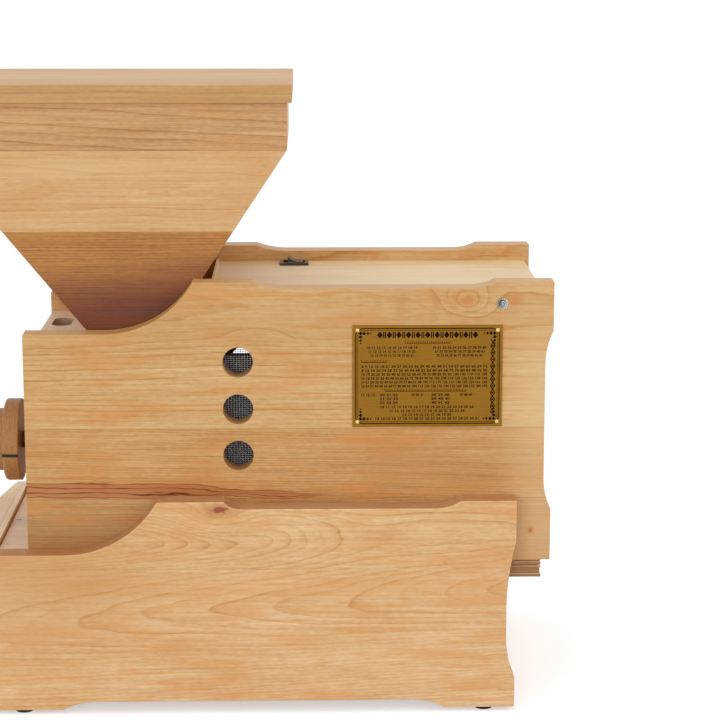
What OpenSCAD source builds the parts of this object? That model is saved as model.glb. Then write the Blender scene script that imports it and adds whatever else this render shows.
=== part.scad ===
// Electric stone mill for grain: a motor and two millstones lie on one level
// axis in a long wooden housing. A lidded hopper feeds them from above, and
// the flour falls into a drawer in the base that carries the housing.
// The mill's own frame: x runs to the rear from the side panels' front edge,
// y across from the middle plane, z up from the side panels' foot.

/* [Housing] */
// Length of the side panels
housing_l = 521.5; // [505:0.5:600]
// Height of the side panels
housing_h = 282; // [276:1:320]
// Width over the side panels
housing_w = 280; // [256:1:300]
// Thickness of the side panels
panel_t = 26; // [18:1:28]
// Thickness of the boards between the side panels
board_t = 18; // [16:1:20]
// Height of the side panels' low front
front_h = 231; // [226:1:236]
// Start of the hollow arc that climbs from the low front
curve_x = 79.5; // [70:0.5:90]
// Depth of the long recess in the top edge
wave_d = 6; // [3:0.5:9]
// Length of the arc at a recess's end
wave_l = 32.5; // [20:0.5:40]
// Height of the motor deck's upper face
deck_z = 265; // [258:0.5:272]
// Place of the motor deck's front edge
deck_x = 181; // [180:1:184]
// Height of the chamber cover's upper face
cover_z = 211; // [210:1:216]
// Set-back of the front board and cover
front_set = 2; // [2:1:6]
// Length of the chamber cover
cover_l = 66; // [60:1:66]

/* [Vents and fittings] */
// Diameter of the round vents
vent_d = 30; // [20:1:32]
// Distance between the vents
vent_pitch = 47; // [40:0.5:50]
// Height of the lowest vent
vent_z = 108.5; // [100:0.5:112]
// Place of the row of vents
vent_x = 210.5; // [208:0.5:220]
// Length of the brass plate
plate_l = 148; // [100:1:160]
// Height of the brass plate
plate_h = 102; // [80:1:110]
// Diameter of the panel screws' washers
washer_d = 11; // [9:0.5:13]

/* [Hopper and lid] */
// Front end of the hopper's rim, ahead of the housing
hopper_front_x = -86; // [-100:1:-80]
// Rear end of the hopper's rim
hopper_rear_x = 260; // [250:1:262]
// Height of the rim's upper edge
rim_z = 455; // [445:1:480]
// Height at which the walls start to slope
bend_z = 409; // [400:1:412]
// Run of the front wall for each unit of drop
front_run = 0.819; // [0.8:0.001:0.825]
// Run of the rear wall for each unit of drop
rear_run = 0.665; // [0.65:0.001:0.67]
// Thickness of the hopper's boards
hopper_t = 12; // [9:1:13]
// Length of the throat across the housing
throat_w = 36; // [30:1:44]
// Overhang of the lid
lid_over = 5; // [3:1:10]
// Thickness of the lid
lid_t = 18; // [12:1:22]

/* [Grinding setting] */
// Height of the axis of motor, stones and knob
axis_z = 93.8; // [92:0.2:98]
// Diameter of the knob's disc
knob_d = 86; // [70:0.5:100]
// Diameter of the knob's grip
grip_d = 65.5; // [45:0.5:68]
// Thickness of the knob's disc
knob_t = 17; // [15:1:25]
// Length of the knob's grip
grip_l = 22; // [15:1:24]
// Free length of spindle between knob and front edge
knob_gap = 20; // [15:0.5:24]
// Diameter of the spindle
spindle_d = 18; // [14:1:20]

/* [Stones] */
// Diameter of the millstones
stone_d = 120; // [100:1:124]
// Thickness of each millstone
stone_t = 20; // [16:1:20]
// Gap between the stones at rest
stone_gap = 1.2; // [1:0.1:1.6]
// Diameter of the fixed stone's eye
eye_d = 40; // [38:1:46]
// Number of furrows in each stone
furrows = 10; // [6:1:14]

/* [Motor] */
// Diameter of the motor over its fins
motor_d = 168; // [150:1:174]
// Length of the motor's finned housing
motor_l = 160; // [140:1:180]
// Diameter of the motor shaft in its bearings
shaft_d = 20; // [17:1:24]

/* [Base] */
// Height of the base under the housing
base_h = 150; // [140:1:180]
// Rear end of the base's cheeks
base_rear_x = 485.5; // [480:0.5:500]
// Front end of the base's cheeks, ahead of the housing
base_front_x = -36; // [-40:1:-30]
// Height to which the cheeks rise beside the housing
cheek_top = 68; // [60:1:75]
// Height of the cheeks' low front
cheek_low = 14.5; // [10:0.5:20]
// Radius of the hollow arc between the two heights
cheek_arc_r = 106; // [90:1:130]
// Thickness of the cheeks
cheek_t = 26; // [20:1:30]
// Thickness of the base deck
base_deck_t = 18; // [16:1:20]
// Rise of the drawer's bowed front in the middle
bow = 16.5; // [8:0.5:20]
// Height of the rubber feet
foot_h = 4; // [3:1:8]

/* [Hidden] */
$fn = 64;
eps = 0.01;
// Clearances: turning fit, sliding fit, and free gap beside what moves
turn_gap = 0.05;
slide_gap = 0.4;
free_gap = 1;

half_w = housing_w / 2;
inner_w = housing_w - 2 * panel_t;
half_in = inner_w / 2;

// Hopper: outer lines of the sloped walls, and their level thickness
function front_line(z) = hopper_front_x + front_run * (bend_z - z);
function rear_line(z) = hopper_rear_x - rear_run * (bend_z - z);
front_level_t = hopper_t * sqrt(1 + pow(front_run, 2));
rear_level_t = hopper_t * sqrt(1 + pow(rear_run, 2));
throat_x0 = front_line(cover_z) + front_level_t;
throat_x1 = rear_line(cover_z) - rear_level_t;
throat_x = (throat_x0 + throat_x1) / 2;
throat_l = throat_x1 - throat_x0;
hopper_half = half_in - free_gap;
hopper_in_half = hopper_half - hopper_t;
slope_rise = 88;
slope_top_z = cover_z + slope_rise;
slope_t = 8;

// Stations along the axis, from the feed to the motor
duct_t = 2;
socket_t = 3;
socket_x0 = throat_x - throat_l / 2 - duct_t - 2 * free_gap - socket_t;
socket_x1 = throat_x + throat_l / 2 + duct_t + 2 * free_gap + socket_t;
carrier_t = 6;
fixed_x = socket_x1 - socket_t + carrier_t;
running_x = fixed_x + stone_t + stone_gap;
hub_x = running_x + stone_t;
hub_t = 4;
bulkhead_x = hub_x + hub_t + free_gap;
motor_x = bulkhead_x + board_t;
shield_t = 12;
body_x = motor_x + shield_t;
rear_shield_x = body_x + motor_l;
fan_x = rear_shield_x + shield_t;
fan_l = 20;
cowl_l = 38;

stone_r = stone_d / 2;
chamber_r = stone_r + 6;
chamber_t = 4;
auger_r = eye_d / 2 - 4;
auger_tube_r = auger_r + free_gap;
tip_r = 8;
fin_h = 5;
case_t = 4;
case_r = motor_d / 2 - fin_h;
bore_r = case_r - case_t;
// Room for the coils between the rotor's bore and the housing
coil_room = 30;
core_r = bore_r - coil_room;
rod_r = 4;
rod_y = chamber_r + chamber_t + rod_r + 6;

deck_under = deck_z - board_t;
cover_under = cover_z - board_t;
cover_x1 = front_set + cover_l;
tongue_t = 8;
tongue_d = 6;
rear_panel_x = housing_l - 14.5 - board_t;
lid_z = rim_z;
lid_x0 = hopper_front_x - lid_over;
lid_x1 = hopper_rear_x + lid_over;

screw_x = housing_l - 50.7;
screw_z = deck_under + board_t * 0.76;
plate_x = housing_l - 50.2 - plate_l;
plate_z = screw_z - washer_d / 2 - 15.68 - plate_h;
plate_t = 1;
pin_inset = 5;
switch_x = 265.3;
switch_y = half_in - 22;
switch_l = 31;
switch_w = 25;
switch_z = deck_z + 2.8;
neck_l = 27.4;
neck_w = 21.6;
neck_h = 22;

front_skin = 12;
drawer_front_x = base_front_x - 1;
drawer_top = -24;
drawer_foot = 8 + foot_h - base_h;
drawer_t = 12;
drawer_back_x = 430;
runner_z = drawer_foot + 10;
side_z = runner_z;
runner_w = 14;
base_back_x = base_rear_x - 33;
half_base = half_w + cheek_t;
chute_w = 60;
chute_t = 2;
chute_x0 = fixed_x + 2;
chute_x1 = bulkhead_x - 2;

origin_x = -(lid_x0 + housing_l) / 2;

// ---- Shared shapes ----

// Puts the mill on its origin: under the middle of its length, at the feet
module placed() translate([origin_x, 0, base_h]) children();

// A board seen from the side: its outline in x and z, from y0 across by t
module plank_xz(y0, t) translate([0, y0 + t, 0]) rotate([90, 0, 0]) linear_extrude(t) children();

// A board seen from the front: its outline in y and z, from x0 to the rear by t
module plank_yz(x0, t) translate([x0, 0, 0]) rotate([90, 0, 90]) linear_extrude(t) children();

// A box between two corners
module box(a, b) translate(a) cube(b - a);

// A round bar along x
module bar_x(x0, x1, r, y = 0, z = axis_z)
    translate([x0, y, z]) rotate([0, 90, 0]) cylinder(h = x1 - x0, r = r);

// A ring along x
module ring_x(x0, x1, r, hole_r) difference() {
    bar_x(x0, x1, r);
    bar_x(x0 - eps, x1 + eps, hole_r);
}

// A turned shape about the mill's axis: its outline in distance along x and radius
module turned_x()
    translate([0, 0, axis_z]) rotate([0, 90, 0]) rotate_extrude() rotate(90) mirror([0, 1]) children();

// The same piece on both sides of the middle plane
module both_sides() {
    children();
    mirror([0, 1, 0]) children();
}

// A hollow arc in an edge: it leaves level v0 smoothly at u0 and meets level v1 at u1 in a corner
function hollow(u0, v0, u1, v1, n = 12) =
    let (du = u1 - u0, dv = v1 - v0)
    let (r = (du * du + dv * dv) / (2 * abs(dv)), turn = 2 * atan2(abs(dv), abs(du)))
    [for (i = [0:n]) [u0 + sign(du) * r * sin(turn * i / n), v0 + sign(dv) * r * (1 - cos(turn * i / n))]];
function back(points) = [for (i = [len(points) - 1:-1:0]) points[i]];
function swap(points) = [for (p = points) [p[1], p[0]]];

// ---- Housing ----

curve_r = 100;
curve_end = curve_x + sqrt(pow(curve_r, 2) - pow(curve_r - (housing_h - front_h), 2));
wave_x0 = curve_end + 58;
wave_x1 = housing_l - 57;
short_l = 25;
// The rear edge has a recess of its own, from beside the cheek to below the deck
rear_wave_d = 7.5;
rear_z0 = cheek_top - 15.5;
rear_z1 = housing_h - 49;
function panel_outline() = concat(
    [[0, 0], [0, front_h]],
    hollow(curve_x, front_h, curve_end, housing_h),
    back(hollow(wave_x0 + wave_l, housing_h - wave_d, wave_x0, housing_h)),
    hollow(wave_x1 - short_l, housing_h - wave_d, wave_x1, housing_h),
    [[housing_l, housing_h]],
    swap(back(hollow(rear_z1 - wave_l, housing_l - rear_wave_d, rear_z1, housing_l))),
    swap(hollow(rear_z0 + wave_l, housing_l - rear_wave_d, rear_z0, housing_l)),
    [[housing_l, 0]]);

module side_panel() difference() {
    plank_xz(-half_w, panel_t) polygon(panel_outline());
    for (i = [0:2]) translate([vent_x, -half_w - eps, vent_z + i * vent_pitch])
        rotate([-90, 0, 0]) cylinder(h = panel_t + 2 * eps, d = vent_d);
    // Groove in which the chamber cover slides, open at the front edge
    box([-eps, -half_in - tongue_d - slide_gap, cover_under + 5],
        [cover_x1 + slide_gap, -half_in + eps, cover_under + 5 + tongue_t + slide_gap]);
    panel_screw_shape(turn_gap);
}
module side_panel_near() color("#d1a770") side_panel();
module side_panel_far() color("#d1a770") mirror([0, 1, 0]) side_panel();

module front_board() color("#cfa26c") difference() {
    box([front_set, -half_in, 0], [front_set + board_t, half_in, cover_under - slide_gap]);
    bar_x(front_set - eps, front_set + board_t + eps, bush_r);
    for (s = [-1, 1]) bar_x(front_set + board_t / 2, front_set + board_t + eps, rod_r, y = s * rod_y);
}

module chamber_cover() color("#d6ae80") difference() {
    union() {
        box([front_set, -half_in + slide_gap, cover_under], [cover_x1, half_in - slide_gap, cover_z]);
        box([front_set, -half_in - tongue_d, cover_under + 5],
            [cover_x1, half_in + tongue_d, cover_under + 5 + tongue_t]);
    }
    // Two finger recesses near the front edge
    for (s = [-1, 1]) translate([front_set + 18, s * 44, cover_z - finger_d])
        finger_recess(finger_l, finger_w, finger_d + eps);
}
finger_l = 48;
finger_w = 20.5;
finger_d = 11;
module finger_recess(l, w, h) for (s = [-1, 1]) {
    translate([0, s * (l - w) / 2, 0]) cylinder(h = h, d = w);
    translate([-w / 2, -(l - w) / 2, 0]) cube([w, l - w, h]);
}

module feed_board() color("#cfa26c") difference() {
    box([cover_x1 + slide_gap, -half_in, cover_under], [bulkhead_x, half_in, cover_z]);
    box([throat_x0, -throat_w / 2, cover_under - eps], [throat_x1, throat_w / 2, cover_z + eps]);
}

module bulkhead() color("#c79a63") difference() {
    box([bulkhead_x, -half_in, 0], [bulkhead_x + board_t, half_in, deck_under]);
    bar_x(bulkhead_x - eps, bulkhead_x + board_t + eps, core_r);
    for (s = [-1, 1]) bar_x(bulkhead_x - eps, bulkhead_x + board_t / 2, rod_r, y = s * rod_y);
    motor_screws();
    capacitor();
}

lip_t = 2.5;
lip_h = 2.7;
// The deck over the motor has a low lip along its front edge
module motor_deck() color("#d3a980") difference() {
    union() {
        box([deck_x, -half_in, deck_under], [housing_l - 5.5, half_in, deck_z]);
        box([deck_x, -half_in, deck_z - eps], [deck_x + lip_t, half_in, deck_z + lip_h]);
    }
    translate([switch_x - neck_l / 2, switch_y - neck_w / 2, deck_under - eps])
        cube([neck_l, neck_w, board_t + 2 * eps]);
    both_sides() panel_screw_shape(0);
}

module rear_panel() color("#cfa26c") difference() {
    box([rear_panel_x, -half_in, 0], [rear_panel_x + board_t, half_in, deck_under]);
    // Air intake: two rows of upright slots
    for (row = [0, 1], i = [-4:4]) translate([rear_panel_x - eps, i * 16, 70 + row * 70])
        rotate([90, 0, 90]) linear_extrude(board_t + 2 * eps) {
            translate([-3, 0]) square([6, 50]);
            circle(3);
            translate([0, 50]) circle(3);
        }
    bar_x(rear_panel_x - eps, rear_panel_x + board_t + eps, gland_r, y = gland_y, z = gland_z);
}

// ---- Vents, plate and screws ----

// Wire screens behind the vents, drawn as strips with square holes
screen_half = vent_d / 2 + 3.5;
screen_foot = vent_z - 32;
screen_top = vent_z + 98;
screen_t = 0.8;
fleece_t = 2;
mesh_pitch = 5;
mesh_hole = 4;
mesh_half = (ceil(vent_d / mesh_pitch) - 1) / 2;
module vent_screens() color("#8c8c8c") both_sides() difference() {
    box([vent_x - screen_half, -half_in, screen_foot],
        [vent_x + screen_half, -half_in + screen_t, screen_top]);
    for (i = [0:2], x = [-mesh_half:mesh_half], z = [-mesh_half:mesh_half])
        translate([vent_x + x * mesh_pitch - mesh_hole / 2, -half_in - eps,
            vent_z + i * vent_pitch + z * mesh_pitch - mesh_hole / 2])
            cube([mesh_hole, screen_t + 2 * eps, mesh_hole]);
}
// Dark fleece that keeps flour dust off the motor, behind one screen only
module dust_fleece() color("#1c1a18")
    box([vent_x - screen_half, -half_in + screen_t, screen_foot],
        [vent_x + screen_half, -half_in + screen_t + fleece_t, screen_top]);

module maker_plate() color("#9a7426") difference() {
    box([plate_x, -half_w - plate_t, plate_z], [plate_x + plate_l, -half_w, plate_z + plate_h]);
    plate_pin_places() rotate([90, 0, 0]) cylinder(h = 4, r = 1.2, center = true);
}
module plate_pin_places() for (x = [pin_inset, plate_l - pin_inset], z = [pin_inset, plate_h - pin_inset])
    translate([plate_x + x, -half_w, plate_z + z]) children();
module plate_pins() color("#b08a3a") plate_pin_places() {
    rotate([90, 0, 0]) cylinder(h = plate_t, r = 1.2);
    translate([0, -plate_t, 0]) rotate([90, 0, 0]) cylinder(h = 0.8, r1 = 2.2, r2 = 1.4);
}

// Pan-head screw with a washer, through the panel into the edge of the deck
screw_r = 2;
screw_bite = 25;
module panel_screw_shape(gap) translate([screw_x, -half_w, screw_z]) rotate([90, 0, 0])
    translate([0, 0, -panel_t - screw_bite]) cylinder(h = panel_t + screw_bite + eps, r = screw_r + gap);
module panel_screws() color("#b9b9b4") both_sides() {
    panel_screw_shape(0);
    translate([screw_x, -half_w, screw_z]) rotate([90, 0, 0]) difference() {
        union() {
            cylinder(h = 1, d = washer_d);
            translate([0, 0, 1]) cylinder(h = 2.4, d1 = 8, d2 = 6.5);
        }
        for (a = [0, 90]) rotate(a) translate([-2, -0.5, 2.2]) cube([4, 1, 2]);
    }
}
// One small screw in the base deck, ahead of the housing
module base_screws() color("#5a544c") translate([base_front_x + 6, 23, -12]) {
    cylinder(h = 12, r = 1.5);
    cylinder(h = 12 + 0.6, r1 = 1.5, r2 = 2.6);
}

// ---- Hopper and lid ----

module hopper_side() plank_xz(-hopper_half, hopper_t) polygon([
    [hopper_front_x, rim_z], [hopper_front_x, bend_z], [front_line(cover_z), cover_z],
    [rear_line(cover_z), cover_z], [hopper_rear_x, bend_z], [hopper_rear_x, rim_z]]);
module hopper_side_near() color("#d6b088") hopper_side();
module hopper_side_far() color("#d6b088") mirror([0, 1, 0]) hopper_side();

front_corner_z = bend_z + (front_level_t - hopper_t) / front_run;
rear_corner_z = bend_z + (rear_level_t - hopper_t) / rear_run;
module hopper_front() color("#cfa679") plank_xz(-hopper_in_half, 2 * hopper_in_half) polygon([
    [hopper_front_x, rim_z], [hopper_front_x, bend_z], [front_line(cover_z), cover_z],
    [throat_x0, cover_z], [hopper_front_x + hopper_t, front_corner_z], [hopper_front_x + hopper_t, rim_z]]);
module hopper_rear() color("#cfa679") plank_xz(-hopper_in_half, 2 * hopper_in_half) polygon([
    [hopper_rear_x, rim_z], [hopper_rear_x, bend_z], [rear_line(cover_z), cover_z],
    [throat_x1, cover_z], [hopper_rear_x - hopper_t, rear_corner_z], [hopper_rear_x - hopper_t, rim_z]]);

// Boards that slope in from the two sides to the throat
module hopper_slopes() color("#cfa679") both_sides() intersection() {
    plank_xz(-hopper_in_half, 2 * hopper_in_half) polygon([
        [throat_x0, cover_z], [hopper_front_x + hopper_t, front_corner_z],
        [hopper_rear_x - hopper_t, rear_corner_z], [throat_x1, cover_z]]);
    plank_yz(hopper_front_x, hopper_rear_x - hopper_front_x) polygon([
        [-throat_w / 2, cover_z], [-hopper_in_half, slope_top_z],
        [-hopper_in_half, slope_top_z - slope_t * 1.6], [-throat_w / 2 - slope_t * 1.3, cover_z]]);
}

module lid() color("#d9b48c")
    box([lid_x0, -hopper_half - lid_over, lid_z], [lid_x1, hopper_half + lid_over, lid_z + lid_t]);
module lid_inset() color("#cfa679") box(
    [hopper_front_x + hopper_t + 2 * free_gap, -hopper_in_half + 2 * free_gap, lid_z - 8],
    [hopper_rear_x - hopper_t - 2 * free_gap, hopper_in_half - 2 * free_gap, lid_z]);

// ---- Grinding setting ----

knob_x = -knob_gap - knob_t;
stub_r = 6;
mark_turn = 11;
mark_w = 3.6;
mark_d = 0.6;
module knob() color("#dfc3a0") difference() {
    turned_x() polygon(concat(
        [[knob_x - grip_l, 0]],
        [for (a = [90:-15:0]) [knob_x - grip_l + 4 - 4 * sin(a), grip_d / 2 - 4 + 4 * cos(a)]],
        [[knob_x, grip_d / 2]],
        [for (a = [90:-15:0]) [knob_x + 3 - 3 * sin(a), knob_d / 2 - 3 + 3 * cos(a)]],
        [[knob_x + knob_t - 1, knob_d / 2], [knob_x + knob_t, knob_d / 2 - 1], [knob_x + knob_t, 0]]));
    bar_x(knob_x - grip_l / 2, knob_x + knob_t + eps, stub_r);
    // Index line cut into the rim on the left-hand side
    translate([0, 0, axis_z]) rotate([mark_turn, 0, 0])
        translate([knob_x - eps, -knob_d / 2 - 1, -mark_w / 2])
        cube([knob_t + 2 * eps, 1 + mark_d, mark_w]);
}

bush_r = spindle_d / 2 + 4;
collar_x = front_set + board_t + 4 + slide_gap;
nut_x = 56;
nut_r = 14;
module spindle() color("#55504a") {
    bar_x(knob_x - grip_l / 2, -knob_gap, stub_r);
    bar_x(-knob_gap, collar_x, spindle_d / 2);
    bar_x(collar_x, collar_x + 3, spindle_d / 2 + 5);
    bar_x(collar_x + 3, socket_x0 - 6, stub_r);
}
module spindle_bush() color("#b08d4a") difference() {
    union() {
        bar_x(front_set - 2, front_set, bush_r + 8);
        bar_x(front_set, front_set + board_t + 4, bush_r);
    }
    bar_x(front_set - 4, front_set + board_t + 5, spindle_d / 2 + turn_gap);
}

// ---- Feed and stones ----

socket_top = 150;
socket_w = throat_w + 2 * (duct_t + 2 * free_gap + socket_t);
module stone_carrier() color("#a9abad") difference() {
    union() {
        bar_x(nut_x, socket_x0 + eps, nut_r);
        bar_x(socket_x0, fixed_x, auger_tube_r + 4);
        bar_x(fixed_x - carrier_t, fixed_x, chamber_r - slide_gap);
        box([socket_x0, -socket_w / 2, axis_z], [socket_x1, socket_w / 2, socket_top]);
        // Arms that slide on the guide rods
        box([socket_x0, -rod_y - 10, axis_z - 10], [socket_x0 + 12, rod_y + 10, axis_z + 10]);
    }
    bar_x(nut_x - eps, socket_x0 - 3, stub_r + turn_gap);
    bar_x(socket_x0 + socket_t, fixed_x + eps, auger_tube_r);
    box([socket_x0 + socket_t, -socket_w / 2 + socket_t, axis_z + auger_tube_r / 2],
        [fixed_x - carrier_t, socket_w / 2 - socket_t, socket_top + eps]);
    for (s = [-1, 1]) bar_x(socket_x0 - eps, socket_x0 + 12 + eps, rod_r + turn_gap, y = s * rod_y);
}

// Furrows run from the eye towards the rim, leaning over to one side
module furrow_cuts(x, depth)
    translate([x, 0, axis_z]) for (i = [0:furrows - 1]) rotate([i * 360 / furrows, 0, 0])
    translate([-depth, 8, eye_d / 2 - 8]) {
        cube([2 * depth, 3.5, stone_r - eye_d / 2 - 2]);
        rotate([-24, 0, 0]) translate([0, 3, 14]) cube([2 * depth, 2.5, stone_r - eye_d / 2 - 22]);
    }
module fixed_stone() color("#cfc8ba") difference() {
    ring_x(fixed_x, fixed_x + stone_t, stone_r, eye_d / 2);
    furrow_cuts(fixed_x + stone_t, 1.5);
}
module running_stone() color("#cfc8ba") difference() {
    ring_x(running_x, running_x + stone_t, stone_r, hub_r);
    mirror([0, 1, 0]) furrow_cuts(running_x, 1.5);
}
hub_r = 14;
module stone_hub() color("#9fa2a5") difference() {
    union() {
        bar_x(hub_x, hub_x + hub_t, stone_r - 12);
        bar_x(running_x + 2, hub_x + eps, hub_r);
    }
    bar_x(running_x, hub_x + hub_t + 1, tip_r);
}

auger_x0 = socket_x0 + socket_t + 2 * free_gap;
auger_x1 = running_x + 2;
auger_turns = 2.5;
module auger() color("#a8a8a4") {
    ring_x(auger_x0, auger_x1, tip_r + 2.5, tip_r);
    // Screw flight, a blade wound about the core
    translate([auger_x0, 0, axis_z]) rotate([0, 90, 0])
        linear_extrude(fixed_x + stone_t - auger_x0, twist = -360 * auger_turns,
            slices = 24 * auger_turns, segments = 4)
            translate([tip_r + 1, -1.5]) square([auger_r - tip_r - 1, 3]);
}

// Rods that guide the carrier, from the front board to the bulkhead
module guide_rods() color("#b9bbbd") both_sides()
    bar_x(front_set + board_t / 2, bulkhead_x + board_t / 2, rod_r, y = rod_y);

module stone_chamber() color("#b4b6b8") difference() {
    union() {
        ring_x(fixed_x - carrier_t, bulkhead_x, chamber_r + chamber_t, chamber_r);
        // Flange screwed to the bulkhead
        ring_x(bulkhead_x - 3, bulkhead_x, chamber_r + chamber_t + 5, chamber_r);
    }
    box([chute_x0, -chute_w / 2, -base_deck_t], [chute_x1, chute_w / 2, axis_z - stone_r / 2]);
}

// Sheet-metal duct under the throat, which dips into the carrier's socket
duct_dip = 10;
duct_flange = 12;
module feed_duct() color("#b4b6b8") difference() {
    union() {
        box([throat_x0 - duct_t, -throat_w / 2 - duct_t, socket_top - duct_dip],
            [throat_x1 + duct_t, throat_w / 2 + duct_t, cover_under]);
        box([throat_x0 - duct_flange, -throat_w / 2 - duct_flange, cover_under - duct_t],
            [throat_x1 + duct_flange, throat_w / 2 + duct_flange, cover_under]);
    }
    box([throat_x0, -throat_w / 2, socket_top - duct_dip - eps],
        [throat_x1, throat_w / 2, cover_under + eps]);
}

module flour_chute() color("#b4b6b8") difference() {
    box([chute_x0 - chute_t, -chute_w / 2 - chute_t, drawer_top + 4],
        [chute_x1 + chute_t, chute_w / 2 + chute_t, axis_z - 50]);
    box([chute_x0, -chute_w / 2, drawer_top + 3], [chute_x1, chute_w / 2, axis_z]);
    bar_x(chute_x0 - 10, bulkhead_x - 3, chamber_r + chamber_t);
    bar_x(bulkhead_x - 3, bulkhead_x + 1, chamber_r + chamber_t + 5);
}

// ---- Motor ----

fin_count = 28;
module motor_housing() color("#4c5560") difference() {
    union() {
        bar_x(body_x, rear_shield_x, case_r);
        for (i = [0:fin_count - 1]) translate([body_x, 0, axis_z]) rotate([i * 360 / fin_count, 0, 0])
            translate([0, -1.2, case_r - 2]) cube([motor_l, 2.4, fin_h + 2]);
    }
    bar_x(body_x - eps, rear_shield_x + eps, bore_r);
}

bearing_r = shaft_d / 2 + 11;
bearing_t = 12;
boss_l = 6;
boss_r = bearing_r + 6;
spigot_l = 4;
shield_r = case_r + 2;
seal_r = shaft_d / 2 + 2;
module front_shield() color("#5a626c") difference() {
    union() {
        bar_x(motor_x, body_x, shield_r);
        bar_x(motor_x - board_t * 0.45, motor_x, core_r);
        bar_x(body_x, body_x + spigot_l, bore_r);
        bar_x(motor_x, body_x + boss_l, boss_r);
    }
    bar_x(motor_x - board_t, body_x + boss_l + eps, seal_r);
    bar_x(body_x + boss_l - bearing_t, body_x + boss_l + eps, bearing_r);
    motor_screws();
}
module rear_shield() color("#5a626c") difference() {
    union() {
        bar_x(rear_shield_x, fan_x, shield_r);
        bar_x(rear_shield_x - spigot_l, rear_shield_x, bore_r);
        bar_x(rear_shield_x - boss_l, fan_x, boss_r);
    }
    bar_x(rear_shield_x - boss_l - eps, fan_x + eps, seal_r);
    bar_x(rear_shield_x - boss_l - eps, rear_shield_x - boss_l + bearing_t, bearing_r);
}
module motor_bearings() color("#c4c6c8") for (x = [body_x + boss_l - bearing_t, rear_shield_x - boss_l])
    ring_x(x, x + bearing_t, bearing_r, shaft_d / 2 + turn_gap);

stack_x0 = body_x + 38;
stack_x1 = rear_shield_x - 38;
rotor_r = core_r - 0.4;
// How far the coils reach outwards, clear of the housing, and the slots that hold them
coil_h = coil_room - 10;
slot_h = coil_h - 4;
module stator_core() color("#6a6d70") difference() {
    ring_x(stack_x0, stack_x1, bore_r, core_r);
    // Slots that hold the windings
    for (i = [0:23]) translate([stack_x0 - eps, 0, axis_z]) rotate([i * 15, 0, 0])
        translate([0, -2.5, core_r + 3]) cube([stack_x1 - stack_x0 + 2 * eps, 5, slot_h]);
}
module stator_windings() color("#a8642c") {
    for (i = [0:23]) translate([stack_x0, 0, axis_z]) rotate([i * 15, 0, 0])
        translate([-1, -2.3, core_r + 3.5]) cube([stack_x1 - stack_x0 + 2, 4.6, slot_h - 1]);
    for (x = [stack_x0 - 18, stack_x1]) turned_x() translate([x, core_r + 3]) {
        translate([4, 0]) square([10, coil_h]);
        translate([0, 4]) square([18, coil_h - 8]);
        for (a = [4, 14], b = [4, coil_h - 4]) translate([a, b]) circle(4, $fn = 24);
    }
}
module rotor_core() color("#8a8d90") difference() {
    union() {
        bar_x(stack_x0, stack_x1, rotor_r);
        bar_x(stack_x0 - 6, stack_x1 + 6, rotor_r - 6);
        for (x = [stack_x0 - 14, stack_x1 + 5], i = [0:5]) translate([x, 0, axis_z]) rotate([i * 60, 0, 0])
            translate([0, -2, rotor_r - 20]) cube([9, 4, 12]);
    }
    bar_x(stack_x0 - 15, stack_x1 + 15, shaft_d / 2 + 3);
}
module motor_shaft() color("#b8babc") {
    bar_x(auger_x0, motor_x - 4, tip_r);
    bar_x(motor_x - 4, body_x + 20, shaft_d / 2);
    bar_x(body_x + 20, rear_shield_x - 20, shaft_d / 2 + 3);
    bar_x(rear_shield_x - 20, fan_x + 4 + fan_l, shaft_d / 2);
}

fan_r = case_r - 12;
module fan() color("#2f3234") difference() {
    union() {
        bar_x(fan_x + 4, fan_x + 7, fan_r);
        bar_x(fan_x + 4, fan_x + 4 + fan_l, shaft_d / 2 + 6);
        for (i = [0:7]) translate([fan_x + 5, 0, axis_z]) rotate([i * 45, 0, 0])
            translate([0, -1.5, shaft_d / 2 + 4]) cube([fan_l - 2, 3, fan_r - shaft_d / 2 - 7]);
    }
    bar_x(fan_x + 3, fan_x + 5 + fan_l, shaft_d / 2);
}
module fan_cowl() color("#3c434b") difference() {
    bar_x(rear_shield_x + 2, rear_shield_x + 2 + cowl_l, case_r + 4);
    bar_x(rear_shield_x + 1, fan_x, shield_r);
    bar_x(fan_x - eps, rear_shield_x + cowl_l, case_r + 2.8);
    // Grille: rings of round holes in the end wall
    for (ring = [1:3], i = [0:ring * 8 - 1])
        translate([rear_shield_x, 0, axis_z]) rotate([i * 45 / ring, 0, 0])
        translate([0, 0, ring * 19]) rotate([0, 90, 0]) cylinder(h = cowl_l + 3, r = 5, $fn = 24);
}

module motor_screw_places() for (a = [45:90:315]) translate([motor_x, 0, axis_z]) rotate([a, 0, 0])
    translate([0, 0, core_r + 13]) rotate([0, 90, 0]) children();
// Countersunk screws that hold the motor's front shield against the bulkhead
module motor_screws() color("#b9b9b4") motor_screw_places() {
    translate([0, 0, -board_t]) cylinder(h = board_t + 4, r = 2.5);
    translate([0, 0, -board_t]) cylinder(h = 3, r1 = 5.5, r2 = 2.5);
}

box_set = 90;
box_l = 62;
box_w = 64;
box_h = 34;
module terminal_box() color("#2f3234") difference() {
    box([body_x + box_set, -box_w / 2, axis_z + case_r - box_h / 8],
        [body_x + box_set + box_l, box_w / 2, axis_z + case_r + box_h]);
    bar_x(body_x, rear_shield_x, case_r + fin_h + turn_gap);
}
// The capacitor stands out from the bulkhead on its stud
can_r = 20;
can_l = 80;
can_y = 66;
can_z = deck_under - can_r - 8;
stud_l = 10;
stud_r = 4;
cap_l = 6;
module capacitor() color("#e8e6e0") {
    bar_x(motor_x - stud_l, motor_x + eps, stud_r, y = can_y, z = can_z);
    bar_x(motor_x, motor_x + can_l, can_r, y = can_y, z = can_z);
    bar_x(motor_x + can_l, motor_x + can_l + cap_l, can_r * 0.6, y = can_y, z = can_z);
}

// ---- Switch and cable entry ----

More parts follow.
